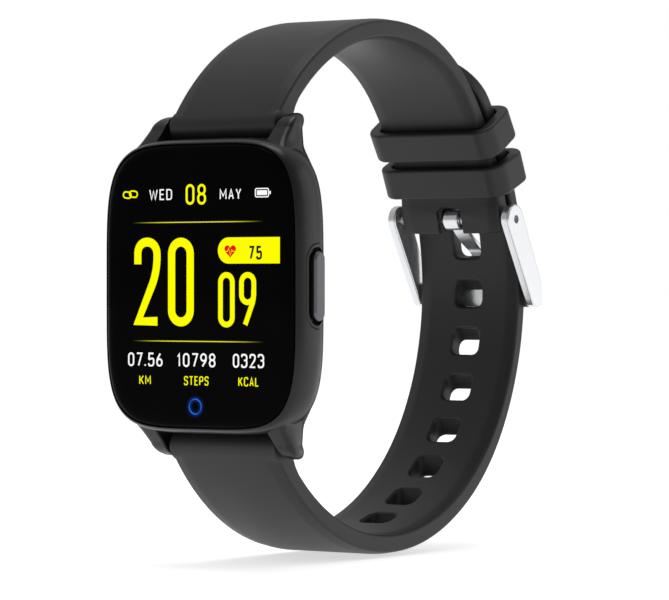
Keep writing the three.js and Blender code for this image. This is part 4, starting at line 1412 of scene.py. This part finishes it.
STADIUM = ((0, 0), (0, 1), (1, 1), (1, 0))
SIGNS: dict[str, tuple[Stroke, ...]] = {
    "0": (Stroke(STADIUM, 1.0, True),),
    "1": (Stroke(((0.15, 0.76), (0.7, 1), (0.7, 0))),),
    "2": (Stroke(((0, 0.72), (0, 1), (1, 1), (1, 0.62, 2.4), (0.02, 0, 0), (1.02, 0)), 0.98),),
    "3": (Stroke(((0, 0.8), (0, 1), (1, 1), (1, 0.54), (0.45, 0.54)), 0.95),
          Stroke(((0.45, 0.54), (1, 0.54), (1, 0), (0, 0), (0, 0.2)), 0.95)),
    "4": (Stroke(((0.78, 0), (0.78, 1), (0, 0.24), (1.05, 0.24))),),
    "5": (Stroke(((0.95, 1), (0.08, 1), (0.02, 0.5))),
          Stroke(((0.02, 0.5), (1, 0.66), (1, 0), (0, 0), (0, 0.2)), 0.9)),
    "6": (Stroke(((0, 0), (0, 0.55), (1, 0.55), (1, 0)), 1.0, True),
          Stroke(((0.02, 0.3), (0.02, 0.5, 1.2), (0.66, 1)))),
    "7": (Stroke(((0, 1), (1, 1), (0.32, 0))),),
    "8": (Stroke(((0.04, 0.52), (0.04, 1), (0.96, 1), (0.96, 0.52)), 0.9, True),
          Stroke(((0, 0), (0, 0.52), (1, 0.52), (1, 0)), 0.95, True)),
    "9": (Stroke(((0, 0.45), (0, 1), (1, 1), (1, 0.45)), 1.0, True),
          Stroke(((0.98, 0.7), (0.98, 0.5, 1.6), (0.3, 0)))),
    ".": (Stroke(((0.1, -0.02), (0.1, 0.1))),),
    "A": (Stroke(((0, 0), (0.5, 1), (1, 0))), Stroke(((0.2, 0.3), (0.8, 0.3)))),
    "C": (Stroke(((1, 0.76), (1, 1), (0, 1), (0, 0), (1, 0), (1, 0.24)), 0.9),),
    "D": (Stroke(((0, 0, 0), (0, 1, 0), (1, 1), (1, 0)), 0.85, True),),
    "E": (Stroke(((1, 1), (0, 1), (0, 0), (1, 0))), Stroke(((0, 0.52), (0.85, 0.52)))),
    "K": (Stroke(((0, 0), (0, 1))), Stroke(((1, 1), (0.1, 0.42))), Stroke(((0.32, 0.6), (1, 0)))),
    "L": (Stroke(((0, 1), (0, 0), (1, 0))),),
    "M": (Stroke(((0, 0), (0, 1), (0.5, 0.3), (1, 1), (1, 0))),),
    "P": (Stroke(((0, 0), (0, 1), (1, 1), (1, 0.46), (0, 0.46)), 0.7),),
    "S": (Stroke(((1, 0.78), (1, 1), (0, 1), (0, 0.54), (1, 0.5), (1, 0), (0, 0), (0, 0.22)), 0.85),),
    "T": (Stroke(((0, 1), (1, 1))), Stroke(((0.5, 1), (0.5, 0)))),
    "W": (Stroke(((0, 1), (0.25, 0), (0.5, 0.9), (0.75, 0), (1, 1))),),
    "Y": (Stroke(((0, 1), (0.5, 0.45), (1, 1))), Stroke(((0.5, 0.45), (0.5, 0)))),
}
SIGN_WIDTHS = {"1": 0.62, ".": 0.25, "M": 1.25, "W": 1.5, "L": 0.85, "E": 0.88}
SIGN_GAP = 0.34


@dataclass(frozen=True)
class Label:
    """A row of signs: its words, its centre, its size and the weight of its strokes."""

    words: str
    centre: Pair
    size: Pair
    weight: float


FIGURES = (
    Label("2", (-9.24, 0.69), (5.02, 13.34), 1.34),
    Label("0", (-2.86, 0.63), (4.86, 13.36), 1.34),
    Label("0", (5.685, -2.02), (3.05, 8.26), 0.84),
    Label("9", (9.62, -2.02), (3.12, 8.26), 0.84),
    Label("08", (-0.04, 13.79), (3.81, 3.10), 0.36),
    Label("KM", (-9.69, -14.2), (2.2, 1.38), 0.17),
    Label("STEPS", (0.04, -14.2), (4.6, 1.38), 0.17),
    Label("KCAL", (9.78, -14.2), (3.74, 1.38), 0.17),
)
WORDS = (
    Label("WED", (-6.71, 13.84), (4.33, 1.65), 0.2),
    Label("MAY", (6.43, 13.74), (3.97, 1.63), 0.2),
    Label("07.56", (-9.65, -11.1), (6.61, 2.1), 0.26),
    Label("10798", (0.01, -11.1), (7.27, 2.1), 0.26),
    Label("0323", (9.77, -11.1), (5.75, 2.1), 0.26),
)
PULSE = Label("75", (11.04, 4.97), (2.47, 2.07), 0.34)


@dataclass
class Dial:
    """What the display shows: plain figures, a few plain words and simple signs."""

    layer: Pair = (0.022, 0.05)
    upper_layer: Pair = (0.004, 0.02)
    heart_layer: Pair = (0.012, 0.02)
    beat_layer: Pair = (0.002, 0.01)
    yellow: Colour = (1.0, 1.0, 0.0)
    white: Colour = (1.0, 1.0, 1.0)
    red: Colour = (0.78, 0.01, 0.012)
    blue: Colour = (0.02, 0.16, 0.9)
    dim_yellow: Colour = (0.75, 0.75, 0.03)
    link_places: tuple[Pair, Pair] = ((-13.13, 13.87), (-11.93, 13.99))
    link_turn: float = 84.0
    cell: Pair = (12.25, 13.86)
    cell_nub: float = 1.48
    flag: tuple[Pair, Pair] = ((4.11, 3.37), (15.52, 7.28))
    heart: Pair = (6.41, 5.3)
    heart_size: float = 0.067
    line_half: float = 12.5
    line_reach: float = 12.6
    line_centre: float = 0.2
    line_heights: tuple[tuple[str, float], ...] = (("dial_line_upper", 9.62), ("dial_line_lower", -8.28))
    ring: Pair = (-0.15, -18.07)
    ring_radius: float = 1.12
    ring_glow: float = 2.4

    def build(self) -> None:
        """Draws the dial, one piece for each colour or fade."""
        yellow = Lit("lit_yellow", self.yellow).material()
        white = Lit("lit_white", self.white).material()
        self.place_figures(yellow)
        self.place_words(white)
        self.place_pulse(yellow)
        self.place_lines()
        self.place_ring()

    def ribbon(self, form: Form, path: Sequence[Vector], weight: float, closed: bool, layer: Pair) -> None:
        """Adds one stroke as a thin flat bar.

        Args:
            form: the form that it is added to.
            path: its (X, Z) points.
            weight: its width.
            closed: whether it ends where it starts.
            layer: its front and back.
        """
        rings = []
        count = len(path)
        for i, point in enumerate(path):
            before = path[i - 1] if closed or i else point - (path[1] - point)
            after = path[(i + 1) % count] if closed or i < count - 1 else point + (point - path[i - 1])
            come, go = (point - before).normalized(), (after - point).normalized()
            middle = (come + go).normalized()
            stretch = min(1.6, 1 / max(0.3, middle.dot(go)))
            side = Vector((-middle.y, middle.x)) * weight / 2 * stretch
            low, high, (front, back) = point - side, point + side, layer
            corners = ((low, front), (high, front), (high, back), (low, back))
            rings.append([Vector((p.x, y, p.y)) for p, y in corners])
        form.loft(rings, closed)

    def sign(self, form: Form, name: str, corner: Pair, size: Pair, weight: float, layer: Pair) -> None:
        """Adds one sign, whose strokes stay inside its size, from its lower left corner."""
        left, low = corner[0] + weight / 2, corner[1] + weight / 2
        width, height = size[0] - weight, size[1] - weight
        for stroke in SIGNS[name]:
            corners = [(left + u * width, low + v * height, (own[0] if own else stroke.round) * width / 2)
                       for u, v, *own in stroke.points]
            self.ribbon(form, rounded(corners, 7, stroke.closed), weight, stroke.closed, layer)

    def text(self, form: Form, label: Label, layer: Pair) -> None:
        """Adds a label, its signs spread evenly over its size round its centre."""
        (x, z), (width, height) = label.centre, label.size
        shares = [SIGN_WIDTHS.get(letter, 1.0) for letter in label.words]
        unit = width / (sum(shares) + SIGN_GAP * (len(shares) - 1))
        left = x - width / 2
        for letter, share in zip(label.words, shares):
            self.sign(form, letter, (left, z - height / 2), (share * unit, height), label.weight, layer)
            left += (share + SIGN_GAP) * unit

    def plate(self, form: Form, outline: Sequence[Vector], layer: Pair, centre: Pair = (0.0, 0.0)) -> Form:
        """Adds a flat plate in a layer and returns the form."""
        front, back = layer
        return form.prism(drawn_y(outline, front, *centre), Vector((0, back - front, 0)))

    def place(self, form: Form, name: str, finish: bpy.types.Material) -> None:
        """Finishes one piece of the dial."""
        form.place(Tag(name, "case", "display", finish))

    def place_figures(self, yellow: bpy.types.Material) -> None:
        """Draws the yellow figures, the units and the two links."""
        form = Form()
        for label in FIGURES:
            self.text(form, label, self.layer)
        turn = Matrix.Rotation(math.radians(self.link_turn), 2)
        link = [turn @ p for p in pill(1.14, 1.72, -0.11, 6)]
        for place in self.link_places:
            self.ribbon(form, [p + Vector(place) for p in link], 0.22, True, self.layer)
        self.place(form, "dial_figures", yellow)

    def place_words(self, white: bpy.types.Material) -> None:
        """Draws the white words, counts and the sign of the cell."""
        form = Form()
        for label in WORDS:
            self.text(form, label, self.layer)
        x, z = self.cell
        shell = [p + Vector((x, z)) for p in box_outline(1.2, 0.62, 0.25, 4)]
        self.ribbon(form, shell, 0.17, True, self.layer)
        self.plate(form, box_outline(0.92, 0.36, 0.08, 2), self.layer, (x, z))
        self.plate(form, box_outline(0.13, 0.24, 0.06, 2), self.layer, (x + self.cell_nub, z))
        self.place(form, "dial_words", white)

    def heart_outline(self) -> list[Vector]:
        """Returns a heart round its centre."""
        points = []
        for turn in (math.tau * i / 44 for i in range(44)):
            x = 16 * math.sin(turn) ** 3
            z = 13 * math.cos(turn) - 5 * math.cos(2 * turn) - 2 * math.cos(3 * turn) - math.cos(4 * turn)
            points.append(Vector((x, z)) * self.heart_size)
        return points

    def place_pulse(self, yellow: bpy.types.Material) -> None:
        """Draws the pulse: a yellow flag with a round end, a red heart and dark figures on it."""
        (left, low), (right, high) = self.flag
        half = (high - low) / 2
        flag = rounded([(left, low, half), (right, low, 0), (right, high, 0), (left, high, half)], 10)
        self.place(self.plate(Form(), flag, self.layer), "dial_flag", yellow)
        heart = self.plate(Form(), self.heart_outline(), self.heart_layer, self.heart)
        self.place(heart, "dial_heart", Lit("lit_red", self.red).material())
        beat = ((5.45, 5.2, 0), (5.95, 5.2, 0), (6.15, 5.7, 0), (6.45, 4.6, 0), (6.7, 5.45, 0),
                (6.85, 5.2, 0), (7.35, 5.2, 0))
        form = Form()
        self.ribbon(form, rounded(beat, 2, False), 0.1, False, self.beat_layer)
        self.place(form, "dial_beat", yellow)
        form = Form()
        self.text(form, PULSE, self.upper_layer)
        dark = Moulded("dial_dark", (0.001, 0.001, 0.001), 0.6, 0.2, 0.0, specular=0.1)
        self.place(form, "dial_pulse", dark.material())

    def place_lines(self) -> None:
        """Draws the two thin lines that fade to both ends."""
        x = self.line_centre
        for name, height in self.line_heights:
            faded = Lit(f"lit_{name}", self.dim_yellow, Fade.ENDS, (x, 0, 0), self.line_reach)
            form = self.plate(Form(), box_outline(self.line_half, 0.075, 0.03, 2), self.layer, (x, height))
            self.place(form, name, faded.material())

    def place_ring(self) -> None:
        """Draws the small blue ring and its glow."""
        x, z = self.ring
        glow = Lit("lit_blue", self.blue, Fade.HALO, (x, 0, z), self.ring_radius)
        (front, back), radius = self.layer, self.ring_glow
        form = Form().spin([(0, front), (radius, front), (radius, back), (0, back)], 48)
        form.move(Matrix.Translation((x, 0, z)))
        self.place(form, "dial_ring", glow.material())


# ---- Inside --------------------------------------------------------------------------------------


@dataclass
class InnerParts:
    """The pieces inside, whose CAD shapes are shown as they are."""

    finishes: Finishes

    def dress(self) -> None:
        """Gives every CAD node that stays its own finish."""
        f = self.finishes
        plan: dict[str, bpy.types.Material] = {
            "glass_adhesive": f.foam, "touch_film": f.film, "display_panel": f.panel,
            "display_bracket": f.can, "display_flex": f.film, "main_board": f.board, "shield_can": f.can,
            "memory_chip": f.chip, "motion_sensor": f.chip, "battery": f.cell, "battery_pad": f.foam,
            "vibration_motor": f.can,
            "antenna_strip": f.gold, "button_clip": f.steel, "button_seal": f.rubber,
            "button_switch": f.chip, "rear_gasket": f.rubber, "sensor_board": f.board,
            "sensor_led_left": f.lamp, "sensor_led_right": f.lamp, "photodiode": f.chip,
            "spring_bar_upper": f.steel, "spring_bar_lower": f.steel, "spring_tip_upper_left": f.steel,
            "spring_tip_upper_right": f.steel, "spring_tip_lower_left": f.steel,
            "spring_tip_lower_right": f.steel,
        }
        for node, finish in plan.items():
            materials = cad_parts[node].data.materials
            materials.clear()
            materials.append(finish)
            log.info("%s: %s", node, finish.name)


# ---- Studio --------------------------------------------------------------------------------------


@dataclass(frozen=True)
class Softbox:
    """One soft light that faces a point."""

    name: str
    place: Place
    size: Pair
    power: float
    aim: Place = (0.0, 0.02, 0.0)

    def build(self) -> None:
        """Adds the light."""
        data = bpy.data.lights.new(self.name, "AREA")
        data.shape = "RECTANGLE"
        data.size, data.size_y = self.size
        data.energy = self.power
        light = bpy.data.objects.new(self.name, data)
        light.location = self.place
        light.rotation_euler = (Vector(self.aim) - light.location).to_track_quat("-Z", "Y").to_euler()
        bpy.context.scene.collection.objects.link(light)


@dataclass
class Studio:
    """The floor, the surround, the lights and the camera."""

    azimuth: float = 35.0
    camera_place: Place = (326.139, -429.503, 0.0)
    lens: float = 193.24
    shift_y: float = -0.0206
    floor_half: float = 6.0
    floor_gap: float = 0.0004
    surround_turn: Pair = (-0.95, 0.45)
    surround_light: Pair = (0.30, 0.58)
    lights: tuple[Softbox, ...] = (
        Softbox("left", (-0.85, -0.08, 0.2), (0.4, 0.7), 0.35),
        Softbox("behind_right", (0.52, 0.62, 0.05), (0.4, 0.9), 0.8),
        Softbox("top", (-0.05, 0.1, 0.9), (0.5, 0.5), 2.0),
    )

    def build(self) -> None:
        """Builds the whole studio."""
        self.place_floor()
        self.make_surround()
        for light in self.lights:
            light.build()
        self.place_camera()
        bpy.context.scene.view_settings.view_transform = "Standard"

    def place_floor(self) -> None:
        """Lays a plain pale floor under the watch."""
        bm = bmesh.new()
        bmesh.ops.create_grid(bm, x_segments=1, y_segments=1, size=self.floor_half)
        bmesh.ops.translate(bm, verts=bm.verts, vec=(0, 0, CAD_BOX[0].z - self.floor_gap))
        mesh = bpy.data.meshes.new("floor")
        bm.to_mesh(mesh)
        bm.free()
        floor = bpy.data.objects.new("floor", mesh)
        bpy.context.scene.collection.objects.link(floor)
        shader = Shader("floor_pale", Roughness=0.9, Specular_IOR_Level=0.1, Emission_Color=(1, 1, 1),
                        Emission_Strength=0.62)
        broad = shader.noise(300.0, 2.0)
        shader.feed("Base Color", shader.blend(broad, (0.88, 0.88, 0.88), (0.90, 0.90, 0.90)))
        mesh.materials.append(shader.material)

    def make_surround(self) -> None:
        """Makes the surround: white to look at, bright behind the watch and dim in front of it as a light."""
        world = bpy.data.worlds.new("surround")
        world.use_nodes = True
        bpy.context.scene.world = world
        nodes = Nodes(world.node_tree)
        turn = math.radians(self.azimuth)
        behind = (-math.sin(turn), math.cos(turn), 0)
        direction = nodes.node("ShaderNodeTexCoord", output="Generated")
        towards = nodes.node("ShaderNodeVectorMath", {"operation": "DOT_PRODUCT"}, {0: direction, 1: behind},
                             "Value")
        (start, end), (dim, bright) = self.surround_turn, self.surround_light
        span = {"Value": towards, "From Min": start, "From Max": end, "To Min": dim, "To Max": bright}
        spread = nodes.node("ShaderNodeMapRange", inputs=span)
        seen = nodes.node("ShaderNodeLightPath", output="Is Camera Ray")
        strength = nodes.maths("MAXIMUM", spread, seen)
        background = world.node_tree.nodes["Background"]
        world.node_tree.links.new(strength.socket, background.inputs["Strength"])
        background.inputs["Color"].default_value = (1, 1, 1, 1)

    def place_camera(self) -> None:
        """Sets the camera level, turned to the right of the watch."""
        data = bpy.data.cameras.new("camera")
        data.lens = self.lens
        data.shift_y = self.shift_y
        data.clip_start, data.clip_end = 0.01, 20.0
        camera = bpy.data.objects.new("camera", data)
        camera.location = TO_FRAME @ Vector(self.camera_place)
        camera.rotation_euler = (math.pi / 2, 0, math.radians(self.azimuth))
        bpy.context.scene.collection.objects.link(camera)
        bpy.context.scene.camera = camera


def main() -> None:
    """Builds the watch, part by part, and then its studio."""
    logging.basicConfig(level=logging.INFO, format="%(message)s")
    finishes = Finishes()
    Case(finishes).build()
    Button(finishes).build()
    ShortStrap(finishes).build()
    LongStrap(finishes).build()
    Keeper(finishes, "keeper_by_buckle", "short_strap", "keeper_fixed", FIXED_KEEPER_ANGLE).build()
    Keeper(finishes, "keeper_free", "sliding_keeper", "keeper_sliding", FREE_KEEPER_ANGLE).build()
    Buckle(finishes).build()
    Dial().build()
    InnerParts(finishes).dress()
    Studio().build()


if __name__ == "__main__":
    main()
